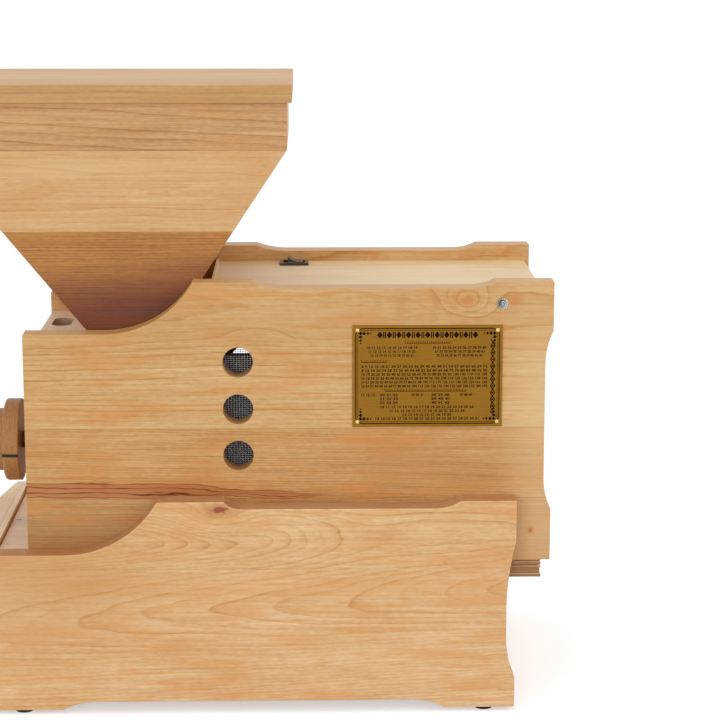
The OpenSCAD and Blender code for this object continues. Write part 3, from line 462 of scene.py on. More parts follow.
def board_wood(name, strips, rings=0.8, fibres=0.6, clouds=0.35, warm=WARM, knots=(), tints=(), joint=0.22,
               strips_along="Z", grain_along="X", broad_faces="Y", edge_grain_and_light=0.8, edge_grain_and_light_tint=None,
               shade=None, streak=None):
    """A material for glued boards. The edges, which lie across the broad faces, have their own tone, partly
    from their edge grain and partly painted light and shade.
    """
    material, tree, shader = new_material(name, specular_ior_level=0.38)
    place = tree.millimetres()
    split = tree.add("SeparateXYZ", place).outputs
    coordinate = split[strips_along]
    if grain_along == "Y":
        place = tree.add("CombineXYZ", split["Y"], split["X"], split["Z"]).outputs[0]
    elif grain_along == "Z":
        place = tree.add("CombineXYZ", split["Z"], split["Y"], split["X"]).outputs[0]
    heart, tilt, pitch, face, ring, waves = strips_over(tree, coordinate, strips)
    figure = 0.0
    cores = []
    for knot in knots:
        made = tree.group(
            KNOT, vector=place, centre=knot.centre, reach=knot.reach, core_size=max(knot.core, 0.01))
        figure = tree.math("MULTIPLY_ADD", made["Lift"], knot.lift, figure)
        if knot.core:
            cores.append((made["Halo"], made["Core"], knot.colour or KNOT_COLOUR))
    grain = tree.group(
        BOARD_GRAIN, vector=place, heart=heart, tilt=tilt, pitch=pitch, waves=waves, figure=figure,
        face=face, ring=ring, warm=warm, rings=rings, fibres=fibres, clouds=clouds)
    color = grain["Color"]
    for tint in tints:
        made = tree.group(KNOT, vector=place, centre=tint.centre, reach=tint.reach, core_size=0.01)
        color = tree.mix("RGBA", tree.math("MULTIPLY", made["Lift"], tint.amount), color, tint.colour)
    for halo, core, colour in cores:
        color = tree.mix("RGBA", tree.math("MULTIPLY", halo, HALO_STRENGTH), color, colour)
        color = tree.mix("RGBA", tree.math("MULTIPLY", core, CORE_STRENGTH), color, colour)
    if streak:
        made = tree.group(RESIN_STREAK, vector=place, **streak)
        fill = tree.math("MULTIPLY", made["Fill"], RESIN_STRENGTH)
        color = tree.mix("RGBA", fill, color, RESIN_COLOUR)
        color = tree.mix("RGBA", made["Line"], color, RESIN_LINE_COLOUR)
    light = tree.math("MULTIPLY_ADD", glue_lines(tree, coordinate, strips), -joint, 1.0)
    # Edges get their own tone and tint: partly edge grain, partly painted shade where they get less light,
    # and painted light where the tone is above 1
    normal = tree.add("SeparateXYZ", tree.add("TexCoord").outputs["Normal"]).outputs[broad_faces]
    edge = tree.smooth(tree.math("ABSOLUTE", normal), 0.85, 0.55)
    light = tree.math("MULTIPLY", light, tree.mix("FLOAT", edge, 1.0, edge_grain_and_light))
    if edge_grain_and_light_tint:
        color = tree.mix("RGBA", edge, color, edge_grain_and_light_tint, blend="MULTIPLY")
    # Painted shade: darker towards the bottom, and more so along x, where parts in front keep the light off
    if shade:
        low, high, tone, slope = shade
        level = tree.math("MULTIPLY_ADD", split["X"], -slope, split["Z"])
        color = tree.mix("RGBA", tree.smooth(level, low, high, 1.0, 0.0), color, tone, blend="MULTIPLY")
    # Painted highlight on the rounded edges
    arris = tree.add("Attribute", attribute_name="arris").outputs["Fac"]
    light = tree.math("MULTIPLY", light, tree.mix("FLOAT", arris, 1.0, ARRIS_HIGHLIGHT))
    tree.feed(shader.inputs["Base Color"], tree.scaled(color, light))
    tree.feed(shader.inputs["Roughness"], grain["Roughness"])
    bump(tree, shader, grain["Height"], 0.12, 0.5)
    return material


def panel_z(height):
    """A height over the side panels' foot, in the row frame."""
    return height + FOOT_Z


def behind(face, depth, x, z):
    """A point of a heart line, this much deeper in the board than its near face."""
    return row_point(x, face + depth, z)


PANEL_WOOD = board_wood(
    "panel_wood",
    [Strip(0, behind(NEAR_FACE, 90, 0, 240), (0, 0.01), 2.5, srgb(197, 151, 96), srgb(168, 104, 32), 5),
     Strip(panel_z(64.5), behind(NEAR_FACE, 110, 0, -150), (0, -0.03), 2.4, srgb(207, 158, 98),
           srgb(176, 108, 26), 6),
     Strip(panel_z(136), behind(NEAR_FACE, 50, 120, 258), (0.02, -0.01), 4.4, srgb(216, 174, 118),
           srgb(188, 124, 38))],
    rings=0.85, fibres=0.66, clouds=0.55, edge_grain_and_light=0.96,
    knots=[
        Knot(row_point(436, NEAR_FACE, 264), (24, 60, 15), 14, 0.28, srgb(206, 138, 68)),
        Knot(row_point(228, NEAR_FACE, 232), (30, 30, 8), 6),
        Knot(row_point(502, NEAR_FACE, 31), (10, 30, 9), 4, 0.2, srgb(190, 118, 56)),
        Knot(row_point(77, NEAR_FACE, 79), (14, 30, 7), 3, 0.32, srgb(160, 84, 40)),
    ],
    tints=[
        # Painted light: the panel's right end paler, as if lit by a lamp from the right
        Tint(row_point(510, NEAR_FACE, 165), (34, 60, 100), srgb(234, 198, 148), 0.65),
        Tint(row_point(200, NEAR_FACE, 238), (280, 60, 34), srgb(198, 148, 86), 0.4),
        Tint(row_point(400, NEAR_FACE, 100), (90, 60, 24), srgb(184, 132, 76), 0.35),
        # Painted light at the lower right end as well
        Tint(row_point(508, NEAR_FACE, 30), (30, 60, 44), srgb(232, 190, 140), 0.6),
        # Painted shade on the panel's foot, where the base cheek keeps the light off
        Tint(row_point(50, NEAR_FACE, 22), (100, 60, 26), srgb(168, 120, 74), 0.5),
        Tint(row_point(372, NEAR_FACE, 258), (7, 60, 15), srgb(196, 128, 78), 0.4),
        Tint(row_point(405, NEAR_FACE, 259), (4, 60, 13), srgb(196, 128, 78), 0.35),
        Tint(row_point(481, NEAR_FACE, 263), (9, 60, 7), srgb(204, 126, 58), 0.6),
    ],
    streak={"start": row_point(0, -100, 66), "length": 318, "height": 15})

# The up-facing edges are darker and pinker: partly edge grain, partly painted shade and a painted reflection
# of the brown panel above them
CHEEK_WOOD = board_wood(
    "cheek_wood",
    [Strip(0, behind(CHEEK_FACE, 46, 240, -38), (-0.055, 0.08), 3.1, srgb(230, 187, 137),
           srgb(204, 144, 74), 9),
     Strip(panel_z(-0.5), behind(CHEEK_FACE, 40, 450, 37), (0.07, 0.03), 2.9, srgb(229, 187, 135),
           srgb(200, 138, 70), 9)],
    rings=0.75, fibres=0.55, clouds=0.6, warm=srgb(224, 158, 90), joint=0.09, edge_grain_and_light=0.74,
    edge_grain_and_light_tint=srgb(248, 231, 228),
    knots=[
        Knot(row_point(188, CHEEK_FACE, 50), (40, 60, 18), 15),
        Knot(row_point(192, CHEEK_FACE, 60.5), (13, 20, 5.5), 4, 0.6, srgb(142, 58, 20)),
        Knot(row_point(330, CHEEK_FACE, 40), (90, 60, 40), 10),
    ],
    tints=[
        Tint(row_point(20, CHEEK_FACE, 10), (110, 60, 70), srgb(204, 148, 84), 0.6),
        Tint(row_point(300, CHEEK_FACE, -20), (160, 60, 10), srgb(226, 166, 100), 0.4),
    ])

HOPPER_WOOD = board_wood(
    "hopper_wood",
    [Strip(0, behind(HOPPER_FACE, 120, 0, -60), (0, 0), 2.6, srgb(184, 124, 58), srgb(130, 74, 16), 6),
     Strip(panel_z(328.5), behind(HOPPER_FACE, 60, 100, 372), (0.01, -0.02), 3.2, srgb(218, 173, 120),
           srgb(196, 138, 74)),
     Strip(panel_z(408.5), behind(HOPPER_FACE, 70, 80, 345), (0, -0.06), 6.2, srgb(204, 158, 106),
           srgb(166, 110, 54))],
    rings=0.8, fibres=0.65, clouds=0.35, edge_grain_and_light=0.9,
    # Painted shade on the lower strip, where the near side panel keeps the light off
    shade=(panel_z(262), panel_z(328), srgb(160, 114, 66), 0.1),
    knots=[Knot(row_point(110, HOPPER_FACE, 398), (110, 60, 14), 4)],
    tints=[Tint(row_point(60, HOPPER_FACE, 390), (150, 60, 9), srgb(226, 186, 136), 0.5)])

HOPPER_CROSS_WOOD = board_wood(
    "hopper_cross_wood",
    [Strip(0, (0, 60, 40), (0, 0), 3.6, srgb(210, 163, 105), srgb(180, 127, 69)),
     Strip(panel_z(360), (0, -30, 300), (0, 0), 4.8, srgb(214, 171, 113), srgb(186, 137, 79))],
    rings=0.7, clouds=0.3, grain_along="Y", broad_faces="X", edge_grain_and_light=1.0)

LID_WOOD = board_wood(
    "lid_wood",
    [Strip(-200, (0, -60, 520), (0, 0), 5.6, srgb(205, 159, 101), srgb(180, 129, 73)),
     Strip(-36, (0, 20, 480), (0, 0), 4.6, srgb(214, 171, 113), srgb(186, 137, 79)),
     Strip(38, (0, 90, 540), (0, 0), 5.2, srgb(208, 163, 105), srgb(180, 129, 73))],
    rings=0.7, clouds=0.3, strips_along="Y", broad_faces="Z", edge_grain_and_light=0.94)

DECK_WOOD = board_wood(
    "deck_wood",
    [Strip(-200, (0, -70, 330), (0, 0), 3.6, srgb(243, 215, 170), srgb(222, 184, 132)),
     Strip(8, (0, 70, 350), (0, 0), 4.2, srgb(245, 218, 174), srgb(224, 188, 136))],
    rings=0.6, fibres=0.4, clouds=0.25, warm=srgb(226, 179, 124),
    strips_along="Y", broad_faces="Z", edge_grain_and_light=0.9)

COVER_WOOD = board_wood(
    "cover_wood",
    [Strip(-1000, (0, -100, 300), (0, 0), 3.8, srgb(248, 222, 192), srgb(226, 190, 154))],
    rings=0.55, fibres=0.45, clouds=0.2, warm=srgb(228, 184, 140),
    strips_along="X", grain_along="Y", broad_faces="Z", edge_grain_and_light=0.7,
    # Painted shade in the finger recesses, where the grain's axis comes first
    tints=[
        Tint((side * 44, FRONT_X + 20, panel_z(200)), (28, 13, 8), srgb(100, 72, 34), 1.0)
        for side in (-1, 1)
    ])

CROSS_WOOD = board_wood(
    "cross_wood",
    [Strip(-1000, (0, 30, 60), (0, 0), 3.6, srgb(207, 159, 97), srgb(176, 123, 67)),
     Strip(panel_z(90), (0, -20, 420), (0, 0), 4.0, srgb(212, 167, 105), srgb(182, 131, 73))],
    rings=0.75, grain_along="Y", broad_faces="X", edge_grain_and_light=0.86)

# Its edges are darker and browner: partly edge grain, partly painted shade where the cheeks and panels shade
# the deck's rear end
BASE_DECK_WOOD = board_wood(
    "base_deck_wood",
    [Strip(-300, (0, -60, 60), (0, 0), 3.6, srgb(244, 214, 180), srgb(222, 184, 144)),
     Strip(10, (0, 70, 50), (0, 0), 4.2, srgb(246, 216, 182), srgb(224, 187, 146))],
    rings=0.55, fibres=0.4, clouds=0.2, strips_along="Y", broad_faces="Z", edge_grain_and_light=0.52,
    edge_grain_and_light_tint=srgb(224, 190, 150))

# Painted light: its top edge is lighter than its faces, where the knob shades it
DRAWER_FRONT_WOOD = board_wood(
    "drawer_front_wood",
    [Strip(-1000, (0, -300, 90), (0, 0), 4.4, srgb(246, 218, 180), srgb(222, 182, 132))],
    rings=0.65, clouds=0.25, grain_along="Y", broad_faces="X", edge_grain_and_light=1.08)

DRAWER_WOOD = board_wood(
    "drawer_wood",
    [Strip(-1000, (0, 20, 200), (0, 0), 3.6, srgb(222, 185, 133), srgb(194, 151, 97))],
    rings=0.6, clouds=0.25, broad_faces="Y", edge_grain_and_light=0.95)

TURNED_WOOD = board_wood(
    "turned_wood",
    [Strip(-1000, (0, -290, 262), (0, 0), 2.6, srgb(184, 132, 82), srgb(150, 98, 50), 5)],
    rings=0.6, fibres=0.45, clouds=0.15, warm=srgb(164, 102, 52),
    grain_along="Y", edge_grain_and_light=0.94)


# ---- Metal, stone and moulded parts ----


def make_fine_relief():
    """Scratches along one direction and a fine even grain."""
    group, tree, given, result = new_group(
        "fine_relief",
        {"Vector": "Vector", "Brush Size": "Vector", "Grain Size": "Float"},
        {"Brush": "Float", "Grain": "Float", "Stain": "Float"})
    spread = tree.vector("DIVIDE", given["Vector"], given["Brush Size"])
    tree.feed(result["Brush"], tree.noise(spread, 1.0, 2.0))
    grain = tree.scaled(given["Vector"], tree.math("DIVIDE", 1.0, given["Grain Size"]))
    tree.feed(result["Grain"], tree.noise(grain, 1.0, 2.0))
    tree.feed(result["Stain"], tree.noise(given["Vector"], 22.0, 3.0))
    return group


FINE_RELIEF = make_fine_relief()


def surface(name, dark, light, brush=(1, 1, 1), grain=1.0, rough=(0.3, 0.5), relief=0.03, stain=0.5,
            **values):
    """A finish between two tones, with brush marks, a fine grain and uneven roughness."""
    material, tree, shader = new_material(name, **values)
    made = tree.group(FINE_RELIEF, vector=tree.millimetres(), brush_size=brush, grain_size=grain)
    tone = tree.mix("FLOAT", stain, made["Brush"], made["Stain"])
    tree.feed(shader.inputs["Base Color"], tree.mix("RGBA", tree.smooth(tone, 0.3, 0.7), dark, light))
    tree.feed(shader.inputs["Roughness"], tree.smooth(made["Stain"], 0.3, 0.7, *rough))
    bump(tree, shader, tree.math("ADD", made["Brush"], made["Grain"]), relief)
    return material


STEEL = surface(
    "zinc_plated_steel", srgb(78, 76, 74), srgb(204, 204, 200), brush=(1.6, 1.6, 1.6),
    rough=(0.22, 0.4), relief=0.01, metallic=1.0)
WIRE = surface(
    "screen_wire", srgb(186, 194, 204), srgb(222, 230, 238), grain=0.5, rough=(0.3, 0.45), metallic=0.5)
DARK_STEEL = surface(
    "browned_steel", srgb(46, 38, 34), srgb(88, 76, 66), brush=(8, 0.5, 0.5), rough=(0.35, 0.55),
    metallic=0.8)
BRASS = surface(
    "brushed_brass", srgb(128, 88, 14), srgb(144, 101, 19), brush=(24, 0.35, 0.35), grain=0.6,
    rough=(0.34, 0.48), relief=0.006, stain=0.35, metallic=0.75)
BRIGHT_BRASS = surface(
    "bright_brass", srgb(190, 160, 96), srgb(226, 202, 140), rough=(0.2, 0.35), metallic=1.0)
DARK_BRONZE = surface(
    "dark_bronze", srgb(96, 58, 34), srgb(124, 80, 50), rough=(0.3, 0.45), metallic=0.6)
ENGRAVING = surface(
    "engraving_paint", srgb(26, 14, 2), srgb(38, 22, 4), grain=0.4, rough=(0.8, 0.9), specular_ior_level=0.1)
STONE = surface(
    "millstone_grit", srgb(172, 162, 146), srgb(216, 208, 192), brush=(0.9, 0.9, 0.9), grain=0.5,
    rough=(0.8, 0.95), relief=0.25, stain=0.2)
CAST_ALUMINIUM = surface(
    "cast_aluminium", srgb(168, 170, 172), srgb(204, 206, 208), brush=(1.2, 1.2, 1.2), grain=0.6,
    rough=(0.38, 0.55), relief=0.06, metallic=0.9)
SHEET_METAL = surface(
    "sheet_metal", srgb(176, 178, 180), srgb(214, 216, 218), brush=(0.5, 0.5, 30), rough=(0.25, 0.4),
    relief=0.01, metallic=1.0)
MOTOR_PAINT = surface(
    "motor_paint", srgb(66, 76, 88), srgb(82, 92, 104), grain=1.6, rough=(0.38, 0.5), relief=0.05)
LAMINATIONS = surface(
    "laminated_steel", srgb(96, 98, 102), srgb(140, 142, 146), brush=(0.5, 40, 40), rough=(0.4, 0.6),
    relief=0.04, metallic=0.9)
WINDINGS = surface(
    "varnished_copper", srgb(128, 62, 26), srgb(186, 104, 52), brush=(30, 0.6, 0.6), rough=(0.25, 0.4),
    relief=0.12, metallic=0.5)
MOULDED_BLACK = surface(
    "moulded_black", srgb(26, 26, 27), srgb(38, 38, 39), grain=0.7, rough=(0.42, 0.56), relief=0.03)
SWITCH_BLACK = surface(
    "switch_black", srgb(13, 13, 15), srgb(20, 20, 23), grain=0.3, rough=(0.12, 0.2), relief=0.004,
    coat_weight=0.5)
MOULDED_WHITE = surface(
    "moulded_white", srgb(224, 222, 214), srgb(236, 234, 228), grain=0.8, rough=(0.4, 0.52), relief=0.02)
RUBBER = surface(
    "rubber", srgb(30, 30, 31), srgb(42, 42, 43), grain=0.9, rough=(0.7, 0.85), relief=0.05)
FLEECE = surface(
    "dust_fleece", srgb(10, 9, 9), srgb(26, 25, 24), brush=(3, 1.2, 3), grain=0.6, rough=(0.9, 1.0),
    relief=0.4, sheen_weight=0.3)
MARK_PAINT = surface(
    "mark_paint", srgb(20, 18, 18), srgb(32, 29, 28), grain=0.5, rough=(0.45, 0.6))


# ---- The wooden pieces ----

BOARDS = [
    # CAD node, width of the eased edge, material, slot, body
    ("side_panel_near", 1.1, PANEL_WOOD, "housing_wood", "frame"),
    ("side_panel_far", 1.1, PANEL_WOOD, "housing_wood", "frame"),
    ("base_cheek_near", 1.2, CHEEK_WOOD, "base_wood", "frame"),
    ("base_cheek_far", 1.2, CHEEK_WOOD, "base_wood", "frame"),
    ("hopper_side_near", 0.7, HOPPER_WOOD, "hopper_wood", "frame"),
    ("hopper_side_far", 0.7, HOPPER_WOOD, "hopper_wood", "frame"),
    ("hopper_front", 0.5, HOPPER_CROSS_WOOD, "hopper_wood", "frame"),
    ("hopper_rear", 0.5, HOPPER_CROSS_WOOD, "hopper_wood", "frame"),
    ("hopper_slopes", 0.3, HOPPER_CROSS_WOOD, "hopper_wood", "frame"),
    ("lid", 1.2, LID_WOOD, "hopper_wood", "lid"),
    ("lid_inset", 0.8, LID_WOOD, "hopper_wood", "lid"),
    ("motor_deck", 0.5, DECK_WOOD, "deck_wood", "frame"),
    ("chamber_cover", 0.7, COVER_WOOD, "board_wood", "cover"),
    ("feed_board", 0.5, COVER_WOOD, "board_wood", "frame"),
    ("front_board", 0.8, CROSS_WOOD, "board_wood", "frame"),
    ("bulkhead", 0.4, CROSS_WOOD, "board_wood", "frame"),
    ("rear_panel", 0.7, CROSS_WOOD, "board_wood", "frame"),
    ("base_back", 0.6, CROSS_WOOD, "board_wood", "frame"),
    ("drawer_runners", 0.6, DRAWER_WOOD, "board_wood", "frame"),
    ("base_deck", 0.35, BASE_DECK_WOOD, "base_deck_wood", "frame"),
    ("drawer_front", 1.2, DRAWER_FRONT_WOOD, "drawer_wood", "drawer"),
    ("drawer_sides", 0.6, DRAWER_WOOD, "drawer_wood", "drawer"),
    ("drawer_back", 0.6, CROSS_WOOD, "drawer_wood", "drawer"),
    ("drawer_bottom", 0.4, COVER_WOOD, "drawer_wood", "drawer"),
    ("drawer_pull", 0.4, TURNED_WOOD, "turned_wood", "drawer"),
    ("knob", 0.4, TURNED_WOOD, "turned_wood", "setting"),
]
for board, width, wood, slot_name, body_name in BOARDS:
    eased(board, width, wood, body=body_name)


# ---- Fittings with eased edges ----

FITTINGS = [
    ("panel_screws", 0.3, STEEL, "steel", "frame"),
    ("base_screws", 0.1, STEEL, "steel", "frame"),
    ("plate_pins", 0.3, BRIGHT_BRASS, "brass", "frame"),
    ("maker_plate", 0.25, BRASS, "brass", "frame"),
    ("spindle", 0.5, DARK_STEEL, "dark_steel", "setting"),
    ("spindle_bush", 0.5, DARK_BRONZE, "brass", "frame"),
    ("stone_carrier", 0.6, CAST_ALUMINIUM, "aluminium", "carrier"),
    ("guide_rods", 0.3, STEEL, "steel", "frame"),
    ("stone_chamber", 0.4, CAST_ALUMINIUM, "aluminium", "frame"),
    ("feed_duct", 0.2, SHEET_METAL, "aluminium", "frame"),
    ("flour_chute", 0.2, SHEET_METAL, "aluminium", "frame"),
    ("switch_body", 0.35, SWITCH_BLACK, "switch_plastic", "frame"),
    ("switch_rocker", 0.35, SWITCH_BLACK, "switch_plastic", "rocker"),
    ("cable_gland", 0.3, MOULDED_BLACK, "black_plastic", "frame"),
    ("rubber_feet", 0.8, RUBBER, "rubber", "frame"),
    ("fan_cowl", 0.2, MOTOR_PAINT, "motor_paint", "frame"),
]
for fitting, width, finish, slot_name, body_name in FITTINGS:
    eased(fitting, width, finish, body=body_name)

INNER_FINISHES = {
    "dust_fleece": FLEECE,
    "fixed_stone": STONE,
    "running_stone": STONE,
    "stone_hub": CAST_ALUMINIUM,
    "auger": STEEL,
    "motor_shaft": STEEL,
    "motor_bearings": STEEL,
    "motor_screws": STEEL,
    "motor_housing": MOTOR_PAINT,
    "front_shield": MOTOR_PAINT,
    "rear_shield": MOTOR_PAINT,
    "stator_core": LAMINATIONS,
    "rotor_core": LAMINATIONS,
    "stator_windings": WINDINGS,
    "fan": MOULDED_BLACK,
    "terminal_box": MOULDED_BLACK,
    "capacitor": MOULDED_WHITE,
}
for inner, finish in INNER_FINISHES.items():
    nodes[inner].data.materials.clear()
    nodes[inner].data.materials.append(finish)


# ---- Woven screens behind the vents ----

WIRE_RADIUS = 0.2
LEVEL_PITCH = 2.05
UPRIGHT_PITCH = 2.75
WIRE_SIDES = 5


def wavy_wire(length, first, crossing):
    """A wire along x that goes over and under the wires it crosses, which lie this far apart."""
    bm = bmesh.new()
    bmesh.ops.create_circle(
        bm, cap_ends=True, segments=WIRE_SIDES, radius=WIRE_RADIUS * MM,
        matrix=Matrix.Rotation(math.pi / 2, 4, "Y"))
    bmesh.ops.translate(bm, verts=bm.verts, vec=(0, -first * WIRE_RADIUS * MM, 0))
    face = bm.faces[:][0]
    for i in range(int(2 * length / crossing)):
        swing = first if i % 4 in (0, 1) else -first
        face = bmesh.ops.extrude_discrete_faces(bm, faces=[face])["faces"][0]
        bmesh.ops.translate(bm, verts=face.verts, vec=(crossing / 2 * MM, swing * WIRE_RADIUS * MM, 0))
    wire = bpy.data.meshes.new("wire")
    bm.to_mesh(wire)
    bm.free()
    return wire


def wire_layer(bm, corner, length, breadth, upright):
    """Parallel wires from a corner of the screen, each waved the other way from the last."""
    own, crossing = (UPRIGHT_PITCH, LEVEL_PITCH) if upright else (LEVEL_PITCH, UPRIGHT_PITCH)
    aside = Vector((1, 0, 0) if upright else (0, 0, 1)) * own * MM
    for number, first in ((1, 1), (2, -1)):
        wire = wavy_wire(length, -first if upright else first, crossing)
        if upright:
            wire.transform(Matrix.Rotation(-math.pi / 2, 4, "Y"))
        wire.transform(Matrix.Translation(corner + aside * number))
        for _ in range(int(breadth / own) // 2):
            bm.from_mesh(wire)
            wire.transform(Matrix.Translation(2 * aside))
        bpy.data.meshes.remove(wire)


def make_screens():
    low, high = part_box("vent_screens")
    thickness = 4 * WIRE_RADIUS * MM
    wide = (high.x - low.x) / MM
    tall = (high.z - low.z) / MM
    bm = bmesh.new()
    for y in (low.y + thickness / 2, high.y - thickness / 2):
        corner = Vector((low.x, y, low.z))
        wire_layer(bm, corner, wide, tall, False)
        wire_layer(bm, corner, tall, wide, True)
    bmesh.ops.recalc_face_normals(bm, faces=bm.faces)
    screens = mesh_object("woven_screens", bm)
    for face in screens.data.polygons:
        face.use_smooth = True
    screens.data.materials.append(WIRE)
    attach(screens, "frame")
    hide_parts("vent_screens")


make_screens()


# ---- Engraving of the brass plate ----

ENGRAVED = 0.05
ROW_STEP = 3.9
SMALL_DIGITS = 2.7
DIGITS = 2.8


class Plate:
    """Flat figures on the plate's face, in millimetres from its lower front corner."""

    def __init__(self):
        self.bm = bmesh.new()

    def rule(self, x0, z0, x1, z1, width=0.5):
        """A straight line."""
        along = Vector((x1 - x0, z1 - z0))
        middle = Vector(((x0 + x1) / 2, 0, (z0 + z1) / 2))
        made = bmesh.ops.create_cube(self.bm, size=1)["verts"]
        bmesh.ops.scale(self.bm, verts=made, vec=(along.length, ENGRAVED * 2, width))
        turn = Matrix.Rotation(-math.atan2(along.y, along.x), 3, "Y")
        bmesh.ops.rotate(self.bm, verts=made, cent=(0, 0, 0), matrix=turn)
        bmesh.ops.translate(self.bm, verts=made, vec=middle)

    def disc(self, x, z, radius, sides=16, squeeze=1.0):
        """A dot, or with four sides a diamond."""
        made = bmesh.ops.create_cone(
            self.bm, cap_ends=True, segments=sides, radius1=radius, radius2=radius,
            depth=ENGRAVED * 2, matrix=Matrix.Rotation(math.pi / 2, 4, "X"))["verts"]
        bmesh.ops.scale(self.bm, verts=made, vec=(squeeze, 1, 1))
        bmesh.ops.translate(self.bm, verts=made, vec=(x, 0, z))

    def numbers(self, values, x0, x1, z, height):
        """A row of plain numbers that fills the space from x0 to x1."""
        curve = bpy.data.curves.new("digits", "FONT")
        curve.body = " ".join(str(value) for value in values)
        curve.resolution_u = 2
        curve.extrude = ENGRAVED
        curve.offset = 0.03
        carrier = bpy.data.objects.new("digits", curve)
        mesh = bpy.data.meshes.new_from_object(carrier)
        across = [v.co.x for v in mesh.vertices]
        up = [v.co.y for v in mesh.vertices]
        middle = Vector(((min(across) + max(across)) / 2, (min(up) + max(up)) / 2, 0))
        stretch = ((x1 - x0) / (max(across) - min(across)), height / (max(up) - min(up)), 1, 1)
        mesh.transform(Matrix.Diagonal(stretch) @ Matrix.Translation(-middle))
        mesh.transform(Matrix.Translation(((x0 + x1) / 2, 0, z)) @ Matrix.Rotation(math.pi / 2, 4, "X"))
        self.bm.from_mesh(mesh)
        bpy.data.objects.remove(carrier)
        bpy.data.curves.remove(curve)
        bpy.data.meshes.remove(mesh)

    def finish(self, low):
        """Moves the figures onto the plate, half sunk in its face."""
        bmesh.ops.scale(self.bm, verts=self.bm.verts, vec=(MM, MM, MM))
        bmesh.ops.translate(self.bm, verts=self.bm.verts, vec=low)
        bmesh.ops.recalc_face_normals(self.bm, faces=self.bm.faces)
        engraving = mesh_object("plate_engraving", self.bm)
        engraving.data.materials.append(ENGRAVING)
        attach(engraving, "frame")


def plate_border(plate, wide, tall):
    """A heavy and a light line that cut each corner off, round the pins."""
    for inset, width, reach in ((3.2, 1.0, 8.6), (5.0, 0.45, 9.6)):
        for z in (inset, tall - inset):
            plate.rule(reach, z, wide - reach, z, width)
        for x in (inset, wide - inset):
            plate.rule(x, reach, x, tall - reach, width)
        for x, dx in ((0, 1), (wide, -1)):
            for z, dz in ((0, 1), (tall, -1)):
                plate.rule(x + dx * inset, z + dz * reach, x + dx * reach, z + dz * inset, width)


def plate_heading(plate, middle, z):
    """Heavy diamonds between pairs of upright bars."""
    for i in range(-5, 6):
        plate.disc(middle + i * 9.4, z, 3.6, sides=4, squeeze=0.8)
        if i < 5:
            for shift in (3.8, 5.6):
                plate.rule(middle + i * 9.4 + shift, z - 3.1, middle + i * 9.4 + shift, z + 3.1, 1.2)


def plate_scale(plate, x0, x1, z, count):
    """A setting scale: numbered long ticks with short ones between them."""
    pitch = (x1 - x0) / count
    for i in range(2 * count + 1):
        x = x0 + i * pitch / 2
        plate.rule(x, z, x, z + (2.6 if i % 2 == 0 else 1.5), 0.5)
    plate.rule(x0, z, x1, z, 0.5)


def plate_corner(plate, x, z, dx, dz):
    """A fan of diamonds that grow along both edges of a corner."""
    for step, radius in ((8.4, 1.5), (11.6, 2.0), (15.2, 1.5), (18.0, 1.0)):
        plate.disc(x + dx * step, z + dz * 8.0, radius, sides=4)
        plate.disc(x + dx * 8.0, z + dz * step, radius, sides=4)


def plate_lattice(plate, x, z0, z1, width):
    """Two lines that cross and cross again, with a dot in each loop."""
    count = round((z1 - z0) / (1.6 * width))
    rise = (z1 - z0) / count
    for i in range(count):
        z = z0 + i * rise
        side = width / 2 if i % 2 == 0 else -width / 2
        plate.rule(x - side, z, x + side, z + rise, 1.0)
        plate.rule(x + side, z, x - side, z + rise, 1.0)
        plate.disc(x, z, 1.1, sides=8)


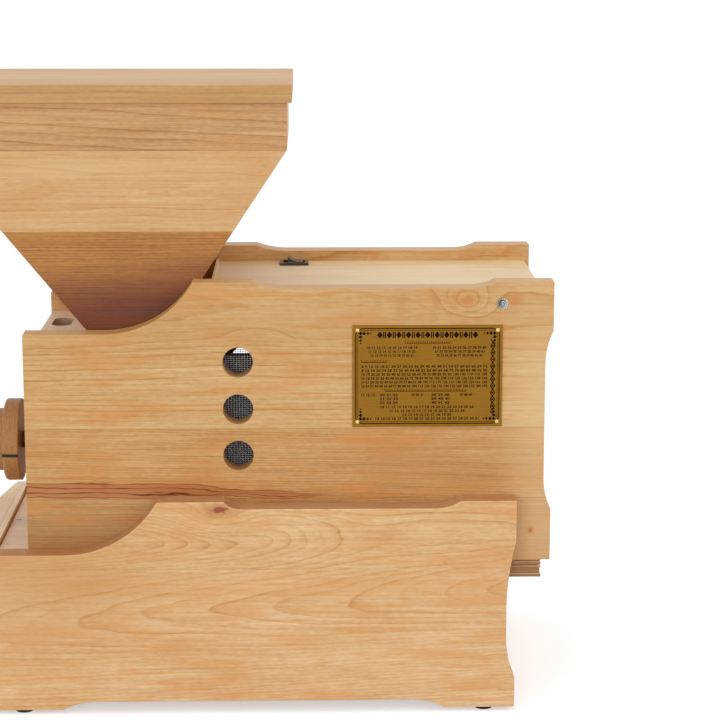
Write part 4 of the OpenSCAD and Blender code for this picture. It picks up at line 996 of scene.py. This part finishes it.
def engrave_plate():
    low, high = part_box("maker_plate")
    wide, tall = (high.x - low.x) / MM, (high.z - low.z) / MM
    plate = Plate()
    plate_border(plate, wide, tall)
    middle = wide / 2
    plate_heading(plate, middle, tall - 9.6)
    plate_scale(plate, middle - 22, middle + 22, tall - 18, 12)
    # Two columns of small figures
    for row in range(3):
        z = tall - 22.4 - row * ROW_STEP
        plate.numbers(range(10 + row, 20 + row), 14 + 2 * row, 64 - 2 * row, z, SMALL_DIGITS)
        plate.numbers(range(30 + row, 41 + row), 79 + 2 * row, 132 - 2 * row, z, SMALL_DIGITS)
    plate_scale(plate, 9, 34, tall - 37.2, 8)
    # The main table: six rows of multiples
    for row in range(6):
        plate.numbers([(row + 3) * k for k in range(2, 25)], 9, 133, tall - 41.2 - row * 3.95, DIGITS)
    plate_scale(plate, 32, 112, tall - 66.2, 26)
    # The lower table: short groups in five columns
    for row in range(3):
        z = tall - 69.8 - row * ROW_STEP
        for column, (x0, x1) in enumerate(((9, 22), (27, 45), (58, 70), (78, 96), (106, 118))):
            if row == 0 or column % 2 == 1:
                first = 11 + 9 * column + row
                plate.numbers(range(first, first + 3), x0, x1, z, DIGITS)
    # Four rows about the middle, of unequal length
    for row, (half, count) in enumerate(((46, 17), (37, 14), (24, 9), (51, 19))):
        z = tall - 82 - row * ROW_STEP
        plate.numbers(range(10 + row, 10 + row + count), middle - half, middle + half, z, DIGITS)
    plate_lattice(plate, wide - 9.6, 14, tall - 14, 4.4)
    for x, dx in ((0, 1), (wide, -1)):
        for z, dz in ((0, 1), (tall, -1)):
            plate_corner(plate, x, z, dx, dz)
    plate.finish(low)


engrave_plate()


# ---- Dark line in the knob's rim ----

MARK_TURN = 11
MARK_LENGTH = 16.6
MARK_WIDTH = 3.5
MARK_THICKNESS = 0.5
MARK_SUNK = 0.42
MARK_INSET = 0.2
MARK_EDGE = 0.1


def make_knob_mark():
    """Paint in the groove that is cut across the knob's rim."""
    low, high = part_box("knob")
    middle = (low.z + high.z) / 2
    radius = (high.z - low.z) / 2 / MM
    bm = bmesh.new()
    made = bmesh.ops.create_cube(bm, size=1)["verts"]
    bmesh.ops.scale(bm, verts=made, vec=(MARK_LENGTH * MM, MARK_THICKNESS * MM, MARK_WIDTH * MM))
    bmesh.ops.bevel(
        bm, geom=bm.edges[:], offset=MARK_EDGE * MM, segments=1, profile=0.5, affect="EDGES", material=-1)
    bmesh.ops.translate(bm, verts=bm.verts, vec=(0, -(radius - MARK_SUNK) * MM, 0))
    turn = Matrix.Rotation(math.radians(MARK_TURN), 3, "X")
    bmesh.ops.rotate(bm, verts=bm.verts, cent=(0, 0, 0), matrix=turn)
    front = high.x - MARK_LENGTH / 2 * MM - MARK_INSET * MM
    bmesh.ops.translate(bm, verts=bm.verts, vec=(front, 0, middle))
    mark = mesh_object("knob_mark", bm)
    mark.data.materials.append(MARK_PAINT)
    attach(mark, "setting")


make_knob_mark()


# ---- Studio ----

make_camera()
make_lamps()
make_world()
make_floor()
bpy.context.scene.view_settings.view_transform = "Standard"
